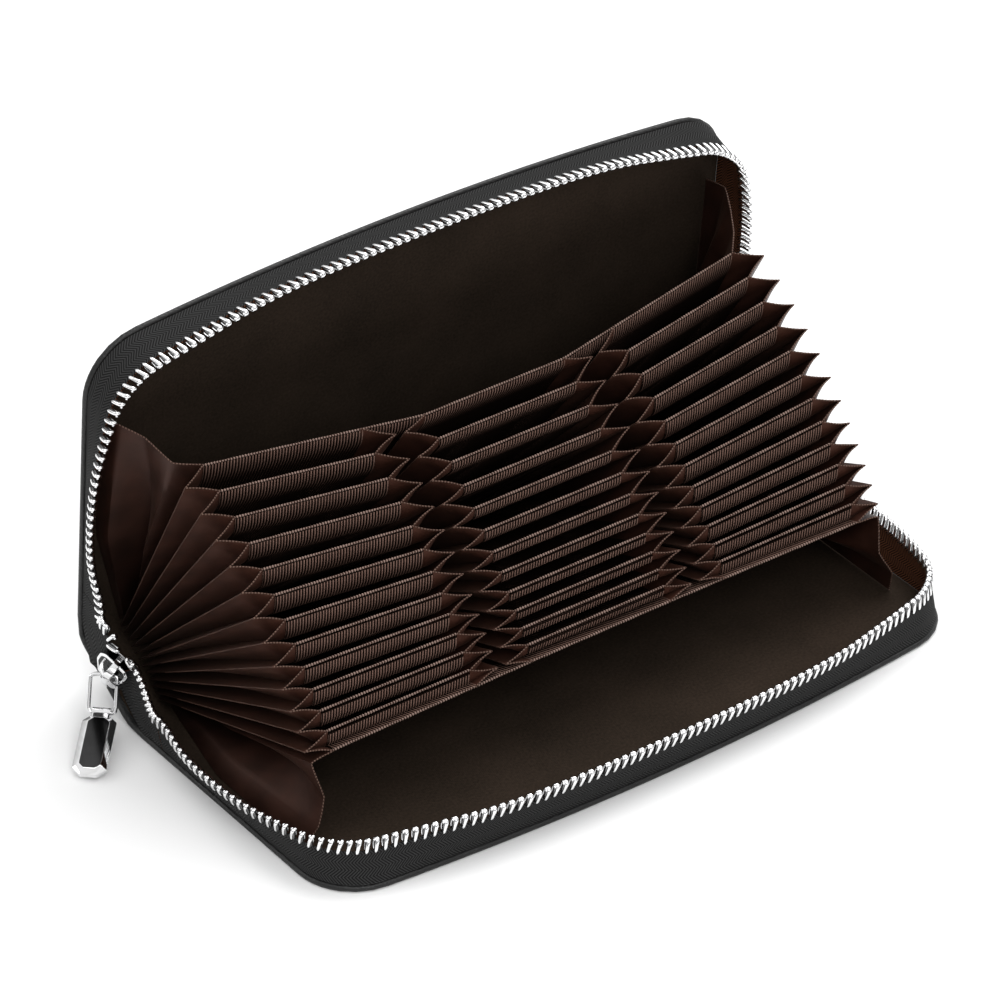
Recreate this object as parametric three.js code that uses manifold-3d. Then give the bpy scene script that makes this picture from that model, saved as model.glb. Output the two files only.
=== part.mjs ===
// A zip around card wallet, standing open. Its lower cover lies on the table, its spine leans back
// and its upper cover stands. Three bellows side by side fan out of the spine, and a zip runs round
// both covers. Millimetres, +X along the spine, -Y towards the opening, +Z up. The origin is the
// centre of the lower cover's flat underside.

import * as THREE from 'three';
import { mergeVertices } from 'three/addons/utils/BufferGeometryUtils.js';
import Module from 'manifold-3d';

const wasm = await Module();
wasm.setup();

// Covers and spine.
const coverLength = 190;
const coverDepth = 91;
const cornerRadius = 16;
const frontBow = 3.9;
const leatherThickness = 1.6;
const leatherRounding = 0.4;
const liningThickness = 0.5;
const liningInset = 2.6;
const spineHeight = 25;
const spineLiningInset = 6.2;
const hingeGap = 0.25;
const seatGap = 0.3;
const spineTilt = THREE.MathUtils.degToRad(34.8);
const coverTilt = THREE.MathUtils.degToRad(84.8);

// Bellows: three columns of leaves, each with a pleated strip at both its ends.
const columnGap = 2.2;
const columnEndRoom = 8.5;
const leafDepth = 67.8;
const leafThickness = 0.5;
const lipThickness = 0.7;
const lipDepth = 1.6;
const leafRows = 13;
const rootMargin = 2.6;
const rootHeight = 1.2;
const pleatReach = 7.2;
const pleatThickness = 0.3;
const pleatStart = 6;
const dividerEndRoom = 13;
const endBackTilt = THREE.MathUtils.degToRad(64.7);
const endFrontTilt = THREE.MathUtils.degToRad(17.7);
const middleBackTilt = THREE.MathUtils.degToRad(57);
const middleFrontTilt = THREE.MathUtils.degToRad(18.2);
const fanBow = THREE.MathUtils.degToRad(3.6);
const gussetFold = 3.2;
const gussetReach = 60;

// Zip: a tape and a row of teeth round each cover, and the ends that cross the spine.
const tapeInset = 0.8;
const tapeWidth = 7.4;
const tapeThickness = 0.5;
const toothPitch = 2.9;
const toothLength = 4.1;
const toothWidth = 1.3;
const toothHeight = 2.2;
const cordSize = 1;
const rowStart = 14;
const rowHook = 5;
const webKnees = 2;
const mouthGap = 1.1;
const sideLean = THREE.MathUtils.degToRad(62);
const frontLean = THREE.MathUtils.degToRad(76);
const cornerLean = THREE.MathUtils.degToRad(104);
const endLean = THREE.MathUtils.degToRad(80);
const cornerSpread = 24;
const endSpread = 12;

// Slider, bail and pull tab.
const sliderLength = 10.6;
const sliderRearWidth = 6.6;
const sliderMouthWidth = 9.4;
const sliderChamfer = 1.2;
const sliderPlate = 0.8;
const sliderChannel = 2;
const sliderShift = 0.4;
const sliderAlong = 13.9;
const sliderLow = 0.5;
const sliderTwist = THREE.MathUtils.degToRad(35);
const postWidth = 1.6;
const postLength = 1.8;
const postSetback = 1.6;
const crownWidth = 1.3;
const crownBand = 0.8;
const crownRise = 3.3;
const crownReach = 4.3;
const crownSpread = THREE.MathUtils.degToRad(15);
const bailWire = 1;
const bailTopWidth = 3.6;
const bailWidth = 6.6;
const bailDrop = 9.2;
const bailShoulder = 1.8;
const bailHeight = 1.35;
const bailYaw = THREE.MathUtils.degToRad(-43);
const bailTilt = THREE.MathUtils.degToRad(59);
const tabReach = 21;
const tabWidth = 8.4;
const tabThickness = 2.6;
const tabBevel = 0.8;
const tabChamfer = 2.2;
const tabTilt = THREE.MathUtils.degToRad(10);
const neckWidth = 4.4;
const neckEnd = 1.3;
const neckThickness = 2.4;
const eyeSize = 1.6;
const eyeSetback = 2;

// How finely curves are cut, and one overrun for every join and cut.
const arcSteps = 6;
const leafSpans = 3;
const tapeSteps = 60;
const wireSides = 8;
const overrun = 0.2;

const columnPitch = (coverLength - 2 * columnEndRoom + columnGap) / 3;
const leafLength = columnPitch - columnGap - 2 * (pleatReach + seatGap);
const dividerLength = coverLength - 2 * dividerEndRoom;
const middleEnd = leafLength / 2 + seatGap;
const columnsEnd = columnPitch + leafLength / 2;
const rootPitch = (spineHeight - 2 * rootMargin) / (leafRows - 1);
const liningTop = seatGap + liningThickness;
const chainX = coverLength / 2 - tapeInset;
const cordHeight = tapeWidth + seatGap + cordSize / 2;
const sliderMouth = sliderLow + sliderLength;
const hingeY = coverDepth / 2;

const leather = new THREE.MeshStandardMaterial({ color: 0x1b1b1c, roughness: 0.55 });
const lining = new THREE.MeshStandardMaterial({ color: 0x241a15, roughness: 0.9 });
const ribbed = new THREE.MeshStandardMaterial({ color: 0x46322c, roughness: 0.75 });
const satin = new THREE.MeshStandardMaterial({ color: 0x553b35, roughness: 0.6 });
const tape = new THREE.MeshStandardMaterial({ color: 0x222223, roughness: 0.85 });
const teeth = new THREE.MeshStandardMaterial({ color: 0xd9dbde, roughness: 0.22, metalness: 1 });
const chrome = new THREE.MeshStandardMaterial({ color: 0xe2e4e6, roughness: 0.1, metalness: 1 });

function part(name, geometry, material) {
  const mesh = new THREE.Mesh(geometry, material);
  mesh.name = name;
  return mesh;
}

function signedVolume(points, triangles) {
  const normal = new THREE.Vector3();
  let volume = 0;
  for (let i = 0; i < triangles.length; i += 3) {
    const [a, b, c] = [points[triangles[i]], points[triangles[i + 1]], points[triangles[i + 2]]];
    volume += normal.crossVectors(b, c).dot(a);
  }
  return volume;
}

function solidFrom(points, triangles) {
  const facing = signedVolume(points, triangles) < 0 ? triangles.slice().reverse() : triangles;
  const geometry = new THREE.BufferGeometry().setFromPoints(points);
  geometry.setIndex(facing);
  return geometry;
}

// A solid through rings of points, with flat ends unless the last ring joins the first. Both faces
// of a thin sheet are split along the same diagonals, so that they stay apart where it twists.
function loft(rings, closed = false) {
  const count = rings[0].length;
  const points = rings.flat();
  const triangles = [];
  const spans = closed ? rings.length : rings.length - 1;
  for (let r = 0; r < spans; r += 1) {
    const here = r * count;
    const next = ((r + 1) % rings.length) * count;
    for (let i = 0; i < count; i += 1) {
      const j = (i + 1) % count;
      const [a, b, c, d] = [here + i, here + j, next + j, next + i];
      if (i < count / 2) triangles.push(a, b, c, a, c, d);
      else triangles.push(a, b, d, b, c, d);
    }
  }
  if (!closed) {
    const last = spans * count;
    for (let i = 1; i + 1 < count; i += 1) {
      triangles.push(0, i + 1, i);
      triangles.push(last, last + i, last + i + 1);
    }
  }
  return solidFrom(points, triangles);
}

function toManifold(geometry) {
  const plain = geometry.clone();
  plain.deleteAttribute('normal');
  plain.deleteAttribute('uv');
  const merged = mergeVertices(plain);
  const vertProperties = new Float32Array(merged.attributes.position.array);
  const triVerts = new Uint32Array(merged.index.array);
  return new wasm.Manifold(new wasm.Mesh({ numProp: 3, vertProperties, triVerts }));
}

function toGeometry(solid) {
  const mesh = solid.getMesh();
  const geometry = new THREE.BufferGeometry();
  geometry.setAttribute('position', new THREE.BufferAttribute(mesh.vertProperties, mesh.numProp));
  geometry.setIndex(new THREE.BufferAttribute(mesh.triVerts, 1));
  return geometry;
}

function join(geometries) {
  const solids = geometries.map(toManifold);
  return toGeometry(solids.reduce((whole, solid) => whole.add(solid)));
}

function box(x, y, z) {
  const size = new THREE.Vector3(x[1] - x[0], y[1] - y[0], z[1] - z[0]);
  const centre = new THREE.Vector3(x[0] + x[1], y[0] + y[1], z[0] + z[1]).divideScalar(2);
  return new THREE.BoxGeometry(...size.toArray()).translate(...centre.toArray());
}

function bevelled(shape, depth, bevel) {
  const options = { depth: depth - 2 * bevel, bevelEnabled: bevel > 0, bevelSegments: 1 };
  options.bevelSize = bevel;
  options.bevelThickness = bevel;
  options.bevelOffset = -bevel;
  return new THREE.ExtrudeGeometry(shape, options).translate(0, 0, bevel);
}

// The outline of a cover from one end of its hinge line, round the opening, to the other end. Its
// front edge is one long arc, and its corners are arcs that meet the sides and the front smoothly.
function coverPath(inset) {
  const filletX = coverLength / 2 - cornerRadius;
  const bowRadius = (filletX * filletX) / (2 * frontBow) + frontBow / 2;
  const bowY = bowRadius - coverDepth;
  const reach = bowRadius - cornerRadius;
  const filletY = bowY - Math.sqrt(reach * reach - filletX * filletX);
  const turn = Math.atan2(filletY - bowY, -filletX) + 2 * Math.PI;
  const side = coverLength / 2 - inset;
  const path = new THREE.Path();
  path.moveTo(-side, 0);
  path.lineTo(-side, filletY);
  path.absarc(-filletX, filletY, cornerRadius - inset, Math.PI, turn, false);
  path.absarc(0, bowY, bowRadius - inset, turn, 3 * Math.PI - turn, false);
  path.absarc(filletX, filletY, cornerRadius - inset, 3 * Math.PI - turn, 2 * Math.PI, false);
  path.lineTo(side, 0);
  return path;
}

// A flat plate in a cover's outline, from one height to another.
function coverPlate(inset, hingeInset, [low, high], bevel) {
  const points = coverPath(inset).getPoints(arcSteps);
  points[0].y = -hingeInset;
  points[points.length - 1].y = -hingeInset;
  return bevelled(new THREE.Shape(points), high - low, bevel).translate(0, 0, low);
}

// How far the tape leans from the cover's plane: nearly upright at the spine, outwards along the
// sides and a little inwards round the corners.
function tapeLean(distance, length, cornerAt) {
  const fromEnd = Math.min(distance, length - distance);
  const front = THREE.MathUtils.smoothstep(fromEnd, cornerAt, cornerAt + cornerSpread);
  const flat = THREE.MathUtils.lerp(sideLean, frontLean, front);
  const corner = Math.exp(-(((fromEnd - cornerAt) / cornerSpread) ** 2));
  const end = Math.exp(-(((fromEnd - rowStart) / endSpread) ** 2));
  return flat + (cornerLean - flat) * corner + (endLean - flat) * end;
}

// The stations of a cover's tape, each with a base point, the way it stands and the way it runs.
// Side is 1 on the lower cover, whose inside faces up, and -1 on the upper one, drawn face down.
function tapeStations(side) {
  const path = coverPath(tapeInset);
  const length = path.getLength();
  const cornerAt = coverDepth - cornerRadius + (cornerRadius * Math.PI) / 4;
  return (distance) => {
    const point = path.getPointAt(distance / length);
    const bearing = path.getTangentAt(distance / length);
    const lean = tapeLean(distance, length, cornerAt);
    const across = Math.cos(lean);
    const base = new THREE.Vector3(point.x, point.y, side * seatGap);
    const up = new THREE.Vector3(bearing.y * across, -bearing.x * across, side * Math.sin(lean));
    return { base, up, run: new THREE.Vector3(bearing.x, bearing.y, 0), length };
  };
}

// A rectangle across a strip at one station: it spans two heights, and a place along the run.
function section({ base, up, run }, along, low, high, thickness) {
  const normal = new THREE.Vector3().crossVectors(run, up).setLength(thickness / 2);
  const foot = base.clone().addScaledVector(run, along);
  const bottom = foot.clone().addScaledVector(up, low);
  const top = foot.clone().addScaledVector(up, high);
  const sides = [normal.clone().negate(), normal];
  return [
    bottom.clone().add(sides[0]),
    top.clone().add(sides[0]),
    top.clone().add(sides[1]),
    bottom.clone().add(sides[1]),
  ];
}

// A row of teeth clamped on a cord, as one comb. Heights are measured from the stations' bases.
function toothRow(stations, cordCentre) {
  const low = cordCentre - cordSize / 2;
  const half = toothWidth / 2;
  const rings = stations.flatMap((station) => [
    section(station, -half, low, low + cordSize, cordSize),
    section(station, -half, low, low + toothLength, toothHeight),
    section(station, half, low, low + toothLength, toothHeight),
    section(station, half, low, low + cordSize, cordSize),
  ]);
  return loft(rings);
}

function coverZip(prefix, side) {
  const stationAt = tapeStations(side);
  const run = stationAt(rowStart).length - 2 * rowStart;
  const sheet = [];
  for (let i = 0; i <= tapeSteps; i += 1) {
    sheet.push(section(stationAt(rowStart + (run * i) / tapeSteps), 0, 0, tapeWidth, tapeThickness));
  }
  const count = Math.floor(run / toothPitch);
  const row = [];
  for (let i = 0; i < count; i += 1) row.push(stationAt(rowStart + (run * (i + 0.5)) / count));
  const chain = toothRow(row, cordHeight);
  return [part(`${prefix}_zip_tape`, loft(sheet), tape), part(`${prefix}_zip_teeth`, chain, teeth)];
}

function coverGroup(prefix, side) {
  const skinSpan = side > 0 ? [-leatherThickness, 0] : [0, leatherThickness];
  const liningSpan = side > 0 ? [seatGap, liningTop] : [-liningTop, -seatGap];
  const skin = coverPlate(0, hingeGap, skinSpan, leatherRounding);
  const inside = coverPlate(liningInset, liningInset, liningSpan, 0);
  const group = new THREE.Group();
  group.add(part(`${prefix}_cover_leather`, skin, leather));
  group.add(part(`${prefix}_cover_lining`, inside, lining));
  group.add(...coverZip(prefix, side));
  return group;
}

function spinePlates() {
  const shape = new THREE.Shape();
  const end = coverLength / 2;
  shape.moveTo(-end, hingeGap);
  shape.lineTo(end, hingeGap);
  shape.lineTo(end, spineHeight - hingeGap);
  shape.lineTo(-end, spineHeight - hingeGap);
  const skin = bevelled(shape, leatherThickness, leatherRounding);
  skin.translate(0, 0, -leatherThickness);
  const inEnd = end - spineLiningInset;
  const inside = box([-inEnd, inEnd], [liningInset, spineHeight - liningInset], [seatGap, liningTop]);
  return [part('spine_leather', skin, leather), part('spine_lining', inside, lining)];
}

// The tilt of a row of leaves from the lower cover at a place along the wallet. The rows in the
// middle of the fan sag a little, and the side columns twist up from the middle one to their ends.
function fanTilt(row, x) {
  const share = (row - 1) / (leafRows - 1);
  const middle = THREE.MathUtils.lerp(middleBackTilt, middleFrontTilt, share);
  const end = THREE.MathUtils.lerp(endBackTilt, endFrontTilt, share);
  const rise = (Math.abs(x) - middleEnd) / (columnsEnd - middleEnd);
  const sag = 4 * fanBow * share * (1 - share);
  return THREE.MathUtils.lerp(middle, end, THREE.MathUtils.clamp(rise, 0, 1)) - sag;
}

function rootAlong(row) {
  return spineHeight - rootMargin - (row - 1) * rootPitch;
}

// A point of the fan in the spine's frame: how far from its root, and how far off its leaf.
function fanPoint(x, row, distance, off = 0) {
  const turn = fanTilt(row, x) + spineTilt;
  const along = rootAlong(row) - distance * Math.cos(turn) + off * Math.sin(turn);
  return new THREE.Vector3(x, along, rootHeight + distance * Math.sin(turn) + off * Math.cos(turn));
}

// Places along one column's leaves, close enough together that a twisted leaf stays smooth.
function leafStations(column) {
  const places = [];
  for (let i = 0; i <= leafSpans; i += 1) {
    places.push(column * columnPitch + (i / leafSpans - 0.5) * leafLength);
  }
  return places;
}

// A card leaf with a thicker lip on its free edge.
function leaf(name, column, row) {
  const half = leafThickness / 2;
  const lip = lipThickness / 2;
  const profile = [
    [0, -half],
    [leafDepth - lipDepth, -half],
    [leafDepth - lipDepth / 2, -lip],
    [leafDepth, 0],
    [leafDepth - lipDepth / 2, lip],
    [leafDepth - lipDepth, half],
    [0, half],
  ];
  const ringAt = (x) => profile.map(([distance, off]) => fanPoint(x, row, distance, off));
  return part(name, loft(leafStations(column).map(ringAt)), ribbed);
}

// A full width panel that backs the first or the last leaf of all three columns.
function divider(name, row) {
  const half = leafThickness / 2;
  const left = [-dividerLength / 2, ...leafStations(-1), -middleEnd];
  const right = [middleEnd, ...leafStations(1), dividerLength / 2];
  const rings = [...left, ...right].map((x) => [
    fanPoint(x, row, 0, -half),
    fanPoint(x, row, leafDepth, -half),
    fanPoint(x, row, leafDepth, half),
    fanPoint(x, row, 0, half),
  ]);
  return part(name, loft(rings), ribbed);
}

// Half the room between neighbouring leaves at a distance from their roots.
function halfGap(distance) {
  const spread = (endBackTilt - endFrontTilt) / (leafRows - 1);
  return (rootPitch + distance * spread) / 2;
}

// The pleated end of one column: valleys at the leaves' ends and folds halfway between them. Its
// outer edges stop short of the dividers.
function pleats(name, column, way) {
  const valley = leafLength / 2 + seatGap;
  const clear = leafThickness / 2 + seatGap / 2 + pleatThickness / 2;
  const knots = [{ row: 1, off: -clear, fold: false }];
  for (let row = 1; row < leafRows; row += 1) {
    knots.push({ row: row + 0.5, off: 0, fold: true });
    if (row + 1 < leafRows) knots.push({ row: row + 1, off: 0, fold: false });
  }
  knots.push({ row: leafRows, off: clear, fold: false });
  const corner = ({ row, off, fold }, distance, face) => {
    const gap = halfGap(distance);
    const mitre = ((pleatThickness / 2) * Math.hypot(gap, pleatReach)) / gap;
    const centre = fold ? valley + pleatReach - mitre : valley + mitre;
    const x = column * columnPitch + way * (centre + face * mitre);
    return fanPoint(x, row, distance, off);
  };
  const rings = knots.map((knot) => [
    corner(knot, pleatStart, -1),
    corner(knot, leafDepth, -1),
    corner(knot, leafDepth, 1),
    corner(knot, pleatStart, 1),
  ]);
  return part(name, loft(rings), satin);
}

// The folded web between the end of a divider and the cover beside it.
function gusset(name, way, row, onCover) {
  const half = pleatThickness / 2;
  const edge = dividerLength / 2 + seatGap + half;
  const line = (distance) => {
    const near = fanPoint(way * edge, row, distance);
    const far = onCover(way * edge, distance + rootMargin);
    const fold = near.clone().lerp(far, 0.5);
    fold.x += way * gussetFold;
    return [near, fold, far];
  };
  const [low, high] = [line(pleatStart), line(gussetReach)];
  const rings = low.map((start, i) => {
    const inner = (point) => point.clone().setX(point.x - half);
    const outer = (point) => point.clone().setX(point.x + half);
    return [inner(start), inner(high[i]), outer(high[i]), outer(start)];
  });
  return part(name, loft(rings), satin);
}

// Turns a station of a cover's tape into the spine's frame.
function movedStation({ base, up, run }, matrix) {
  return {
    base: base.clone().applyMatrix4(matrix),
    up: up.clone().transformDirection(matrix),
    run: run.clone().transformDirection(matrix),
  };
}

// Stations of the teeth that leave a cover's edge and turn into the slider's mouth.
function crossingRow(start, mouth, bearing, across) {
  const from = start.base.clone().addScaledVector(start.up, cordHeight);
  const knee = from.clone().addScaledVector(start.run, -rowHook);
  const hook = mouth.clone().addScaledVector(bearing, -rowHook);
  const curve = new THREE.CubicBezierCurve3(from, knee, hook, mouth);
  const at = (share) => {
    const up = start.up.clone().lerp(across, share);
    const run = curve.getTangentAt(share);
    up.addScaledVector(run, -up.dot(run)).normalize();
    return { base: curve.getPointAt(share), up, run };
  };
  return { at, length: curve.getLength() };
}

// One end of the zip: the web of both tapes, from cover to cover over the spine's end, with the
// teeth on its edge. The slider's mouth frame says where the two rows meet.
function zipEnd(name, way, twist, covers) {
  const mouthFrame = new THREE.Matrix4().makeRotationZ(-way * twist);
  mouthFrame.setPosition(way * (chainX + sliderShift), sliderAlong, 0);
  const atSlider = (y, z) => new THREE.Vector3(0, y, z).applyMatrix4(mouthFrame);
  const cordSide = mouthGap / 2 + toothLength - cordSize / 2;
  const rowEnd = sliderMouth + toothWidth / 2 + seatGap;
  const halves = covers.map(({ stationAt, matrix, toward }) => {
    const place = (distance) => {
      const station = stationAt(way < 0 ? distance : stationAt(0).length - distance);
      station.run.multiplyScalar(-way);
      return movedStation(station, matrix);
    };
    const start = place(rowStart - seatGap);
    const mouth = atSlider(toward * cordSide, rowEnd);
    const inwards = new THREE.Vector3(0, 0, -1);
    const across = new THREE.Vector3(0, -toward, 0).transformDirection(mouthFrame);
    const row = crossingRow(start, mouth, inwards, across);
    const web = [];
    for (let i = 0; i <= webKnees; i += 1) {
      const share = i / (webKnees + 1);
      web.push([place((rowStart - seatGap) * (1 - share)).base, row.at(share).base]);
    }
    const spineAt = atSlider(toward * (cordSide + cordSize), seatGap);
    web.push([spineAt, mouth.clone()]);
    web.push([atSlider(toward * postWidth, seatGap), atSlider(toward * postWidth, sliderLength / 2)]);
    const count = Math.floor(row.length / toothPitch);
    const teethAt = [];
    for (let i = 0; i < count; i += 1) {
      const offset = toothWidth / 2 / row.length;
      teethAt.push(row.at(THREE.MathUtils.lerp(offset, 1, i / (count - 1))));
    }
    return { web, chain: toothRow(teethAt, 0) };
  });
  const line = [...halves[0].web, ...halves[1].web.reverse()];
  const rings = line.map(([foot, top], i) => {
    const before = line[Math.max(i - 1, 0)][0];
    const after = line[Math.min(i + 1, line.length - 1)][0];
    const run = after.clone().sub(before);
    const up = top.clone().sub(foot);
    const height = up.length();
    return section({ base: foot, up: up.normalize(), run }, 0, 0, height, tapeThickness);
  });
  return part(name, join([loft(rings), halves[0].chain, halves[1].chain]), teeth);
}

// The slider's frame has its mouth up, its crown on the -X side and the upper tape on the +Y side.
function sliderGeometry() {
  const middle = new THREE.Matrix4().makeBasis(
    new THREE.Vector3(0, 1, 0),
    new THREE.Vector3(0, 0, 1),
    new THREE.Vector3(1, 0, 0),
  );
  const outline = new THREE.Shape();
  const shoulder = sliderMouth - sliderLength / 2;
  outline.moveTo(-sliderRearWidth / 2, sliderLow);
  outline.lineTo(sliderRearWidth / 2, sliderLow);
  outline.lineTo(sliderMouthWidth / 2, shoulder);
  outline.lineTo(sliderMouthWidth / 2, sliderMouth - sliderChamfer);
  outline.lineTo(sliderMouthWidth / 2 - sliderChamfer, sliderMouth);
  outline.lineTo(-sliderMouthWidth / 2 + sliderChamfer, sliderMouth);
  outline.lineTo(-sliderMouthWidth / 2, sliderMouth - sliderChamfer);
  outline.lineTo(-sliderMouthWidth / 2, shoulder);
  const half = sliderChannel / 2;
  const solids = [];
  for (const low of [-half - sliderPlate, half]) {
    const plate = new THREE.ExtrudeGeometry(outline, { depth: sliderPlate, bevelEnabled: false });
    solids.push(plate.applyMatrix4(middle).translate(low, 0, 0));
  }
  const postTop = sliderMouth - postSetback;
  const post = [postTop - postLength, postTop];
  solids.push(box([-half - overrun, half + overrun], [-postWidth / 2, postWidth / 2], post));
  for (const side of [-1, 1]) {
    const arch = crownArch().translate(0, -crownWidth / 2, 0).rotateX(side * crownSpread);
    solids.push(arch.translate(-half - sliderPlate, 0, crownCentre()));
  }
  return join(solids);
}

function crownCentre() {
  return sliderLow + sliderLength / 2;
}

// One arch of the crown, standing out along -X over the centre and spanning +Z and -Z.
function crownArch() {
  const slope = crownRise / 2;
  const shape = new THREE.Shape();
  shape.moveTo(-crownReach, -overrun);
  shape.lineTo(-crownReach, slope);
  shape.lineTo(-crownReach + slope, crownRise);
  shape.lineTo(crownReach - slope, crownRise);
  shape.lineTo(crownReach, slope);
  shape.lineTo(crownReach, -overrun);
  shape.lineTo(crownReach - crownBand, -overrun);
  shape.lineTo(crownReach - crownBand, slope - crownBand / 2);
  shape.lineTo(crownReach - slope - crownBand / 2, crownRise - crownBand);
  shape.lineTo(-crownReach + slope + crownBand / 2, crownRise - crownBand);
  shape.lineTo(-crownReach + crownBand, slope - crownBand / 2);
  shape.lineTo(-crownReach + crownBand, -overrun);
  const geometry = new THREE.ExtrudeGeometry(shape, { depth: crownWidth, bevelEnabled: false });
  const alongZ = new THREE.Vector3(0, 0, 1);
  const outwards = new THREE.Vector3(-1, 0, 0);
  const sideways = new THREE.Vector3(0, -1, 0);
  geometry.applyMatrix4(new THREE.Matrix4().makeBasis(alongZ, outwards, sideways));
  return geometry.translate(0, crownWidth, 0);
}

// The wire loop that joins the crown and the tab. Its upper bar is the hinge line, along X.
function bailGeometry() {
  const top = bailTopWidth / 2;
  const side = bailWidth / 2;
  const bend = bailWire / 2;
  const corners = [
    [top, 0],
    [side - bend, -bend],
    [side, -bailShoulder],
    [side, -bailDrop + bend],
    [side - bend, -bailDrop],
  ];
  const mirrored = corners.map(([x, y]) => [-x, y]).reverse();
  const path = [...corners, ...mirrored].map(([x, y]) => new THREE.Vector2(x, y));
  const rings = path.map((point, i) => {
    const before = path[(i + path.length - 1) % path.length];
    const after = path[(i + 1) % path.length];
    const arriving = point.clone().sub(before).normalize();
    const leaving = after.clone().sub(point).normalize();
    const out = arriving.clone().add(leaving).normalize().rotateAround(new THREE.Vector2(), Math.PI / 2);
    const stretch = 1 / Math.sqrt((1 + arriving.dot(leaving)) / 2);
    const ring = [];
    for (let s = 0; s < wireSides; s += 1) {
      const angle = ((s + 0.5) / wireSides) * 2 * Math.PI;
      const across = (Math.cos(angle) * bailWire * stretch) / 2;
      const z = (Math.sin(angle) * bailWire) / 2;
      ring.push(new THREE.Vector3(point.x + out.x * across, point.y + out.y * across, z));
    }
    return ring;
  });
  return loft(rings, true);
}

// The pull tab, a long bevelled octagon with an eye in its neck. The eye is at the origin.
function tabGeometry() {
  const half = tabWidth / 2;
  const outline = new THREE.Shape();
  outline.moveTo(-half + tabChamfer, -eyeSetback);
  outline.lineTo(-half, -eyeSetback - tabChamfer);
  outline.lineTo(-half, -tabReach + tabChamfer);
  outline.lineTo(-half + tabChamfer, -tabReach);
  outline.lineTo(half - tabChamfer, -tabReach);
  outline.lineTo(half, -tabReach + tabChamfer);
  outline.lineTo(half, -eyeSetback - tabChamfer);
  outline.lineTo(half - tabChamfer, -eyeSetback);
  const body = bevelled(outline, tabThickness, tabBevel).translate(0, 0, -tabThickness / 2);
  const neckHalf = [-neckThickness / 2, neckThickness / 2];
  const neckBack = -eyeSetback - tabBevel - tabChamfer;
  const neck = box([-neckWidth / 2, neckWidth / 2], [neckBack, neckEnd], neckHalf);
  const eye = [-eyeSize / 2, eyeSize / 2];
  const hole = box([-neckWidth, neckWidth], eye, eye);
  return toGeometry(toManifold(body).add(toManifold(neck)).subtract(toManifold(hole)));
}

// The slider stays on the spine's end. Its bail hangs from the crown and carries the tab.
function pull() {
  const slider = part('slider_body', sliderGeometry(), chrome);
  slider.rotation.z = sliderTwist;
  slider.position.set(-chainX - sliderShift, sliderAlong, 0);
  slider.updateMatrix();
  const bail = new THREE.Group();
  const out = sliderChannel / 2 + sliderPlate + bailHeight;
  bail.position.set(-out, 0, crownCentre()).applyMatrix4(slider.matrix);
  const level = new THREE.Quaternion().setFromEuler(new THREE.Euler(-spineTilt, 0, 0));
  const hang = new THREE.Euler(bailTilt, 0, bailYaw, 'ZYX');
  bail.quaternion.copy(level.multiply(new THREE.Quaternion().setFromEuler(hang)));
  bail.add(part('puller_bail', bailGeometry(), chrome));
  const tab = part('puller_tab', tabGeometry(), chrome);
  tab.position.y = -bailDrop;
  tab.rotation.x = tabTilt - bailTilt;
  bail.add(tab);
  return [slider, bail];
}

function bellows() {
  const nodes = [divider('back_divider', 1), divider('front_divider', leafRows)];
  for (const [label, column] of [['left', -1], ['middle', 0], ['right', 1]]) {
    for (let row = 2; row < leafRows; row += 1) {
      nodes.push(leaf(`${label}_leaf_${String(row).padStart(2, '0')}`, column, row));
    }
    nodes.push(pleats(`${label}_column_left_pleats`, column, -1));
    nodes.push(pleats(`${label}_column_right_pleats`, column, 1));
  }
  return nodes;
}

function wallet() {
  const lower = coverGroup('lower', 1);
  lower.position.set(0, hingeY, leatherThickness);
  const spine = new THREE.Group();
  spine.position.copy(lower.position);
  spine.rotation.x = spineTilt;
  const upper = coverGroup('upper', -1);
  upper.position.y = spineHeight;
  upper.rotation.x = -(coverTilt + spineTilt);
  upper.updateMatrix();
  const lowerMatrix = new THREE.Matrix4().makeRotationX(-spineTilt);
  const covers = [
    { stationAt: tapeStations(1), matrix: lowerMatrix, toward: -1 },
    { stationAt: tapeStations(-1), matrix: upper.matrix, toward: 1 },
  ];
  const coverAt = (matrix, side) => (x, distance) => {
    const height = side * (liningTop + seatGap + pleatThickness / 2);
    return new THREE.Vector3(x, -distance, height).applyMatrix4(matrix);
  };
  const onLower = coverAt(lowerMatrix, 1);
  const onUpper = coverAt(upper.matrix, -1);
  spine.add(...spinePlates(), ...bellows(), ...pull(), upper);
  for (const [label, way, twist] of [['left', -1, sliderTwist], ['right', 1, 0]]) {
    spine.add(gusset(`${label}_upper_gusset`, way, 1, onUpper));
    spine.add(gusset(`${label}_lower_gusset`, way, leafRows, onLower));
    spine.add(zipEnd(`${label}_zip_end`, way, twist, covers));
  }
  const group = new THREE.Group();
  group.add(lower, spine);
  return group;
}

export default wallet();
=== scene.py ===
"""Looks of a zip around card wallet, standing open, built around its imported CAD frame.

Lengths in this file are millimetres until a mesh is made, and the frame is the CAD's: +X along the
spine, -Y towards the opening, +Z up, with the origin under the centre of the lower cover.
"""
import math
import random

import bmesh
import bpy
import numpy as np
from mathutils import Matrix, Vector


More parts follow.
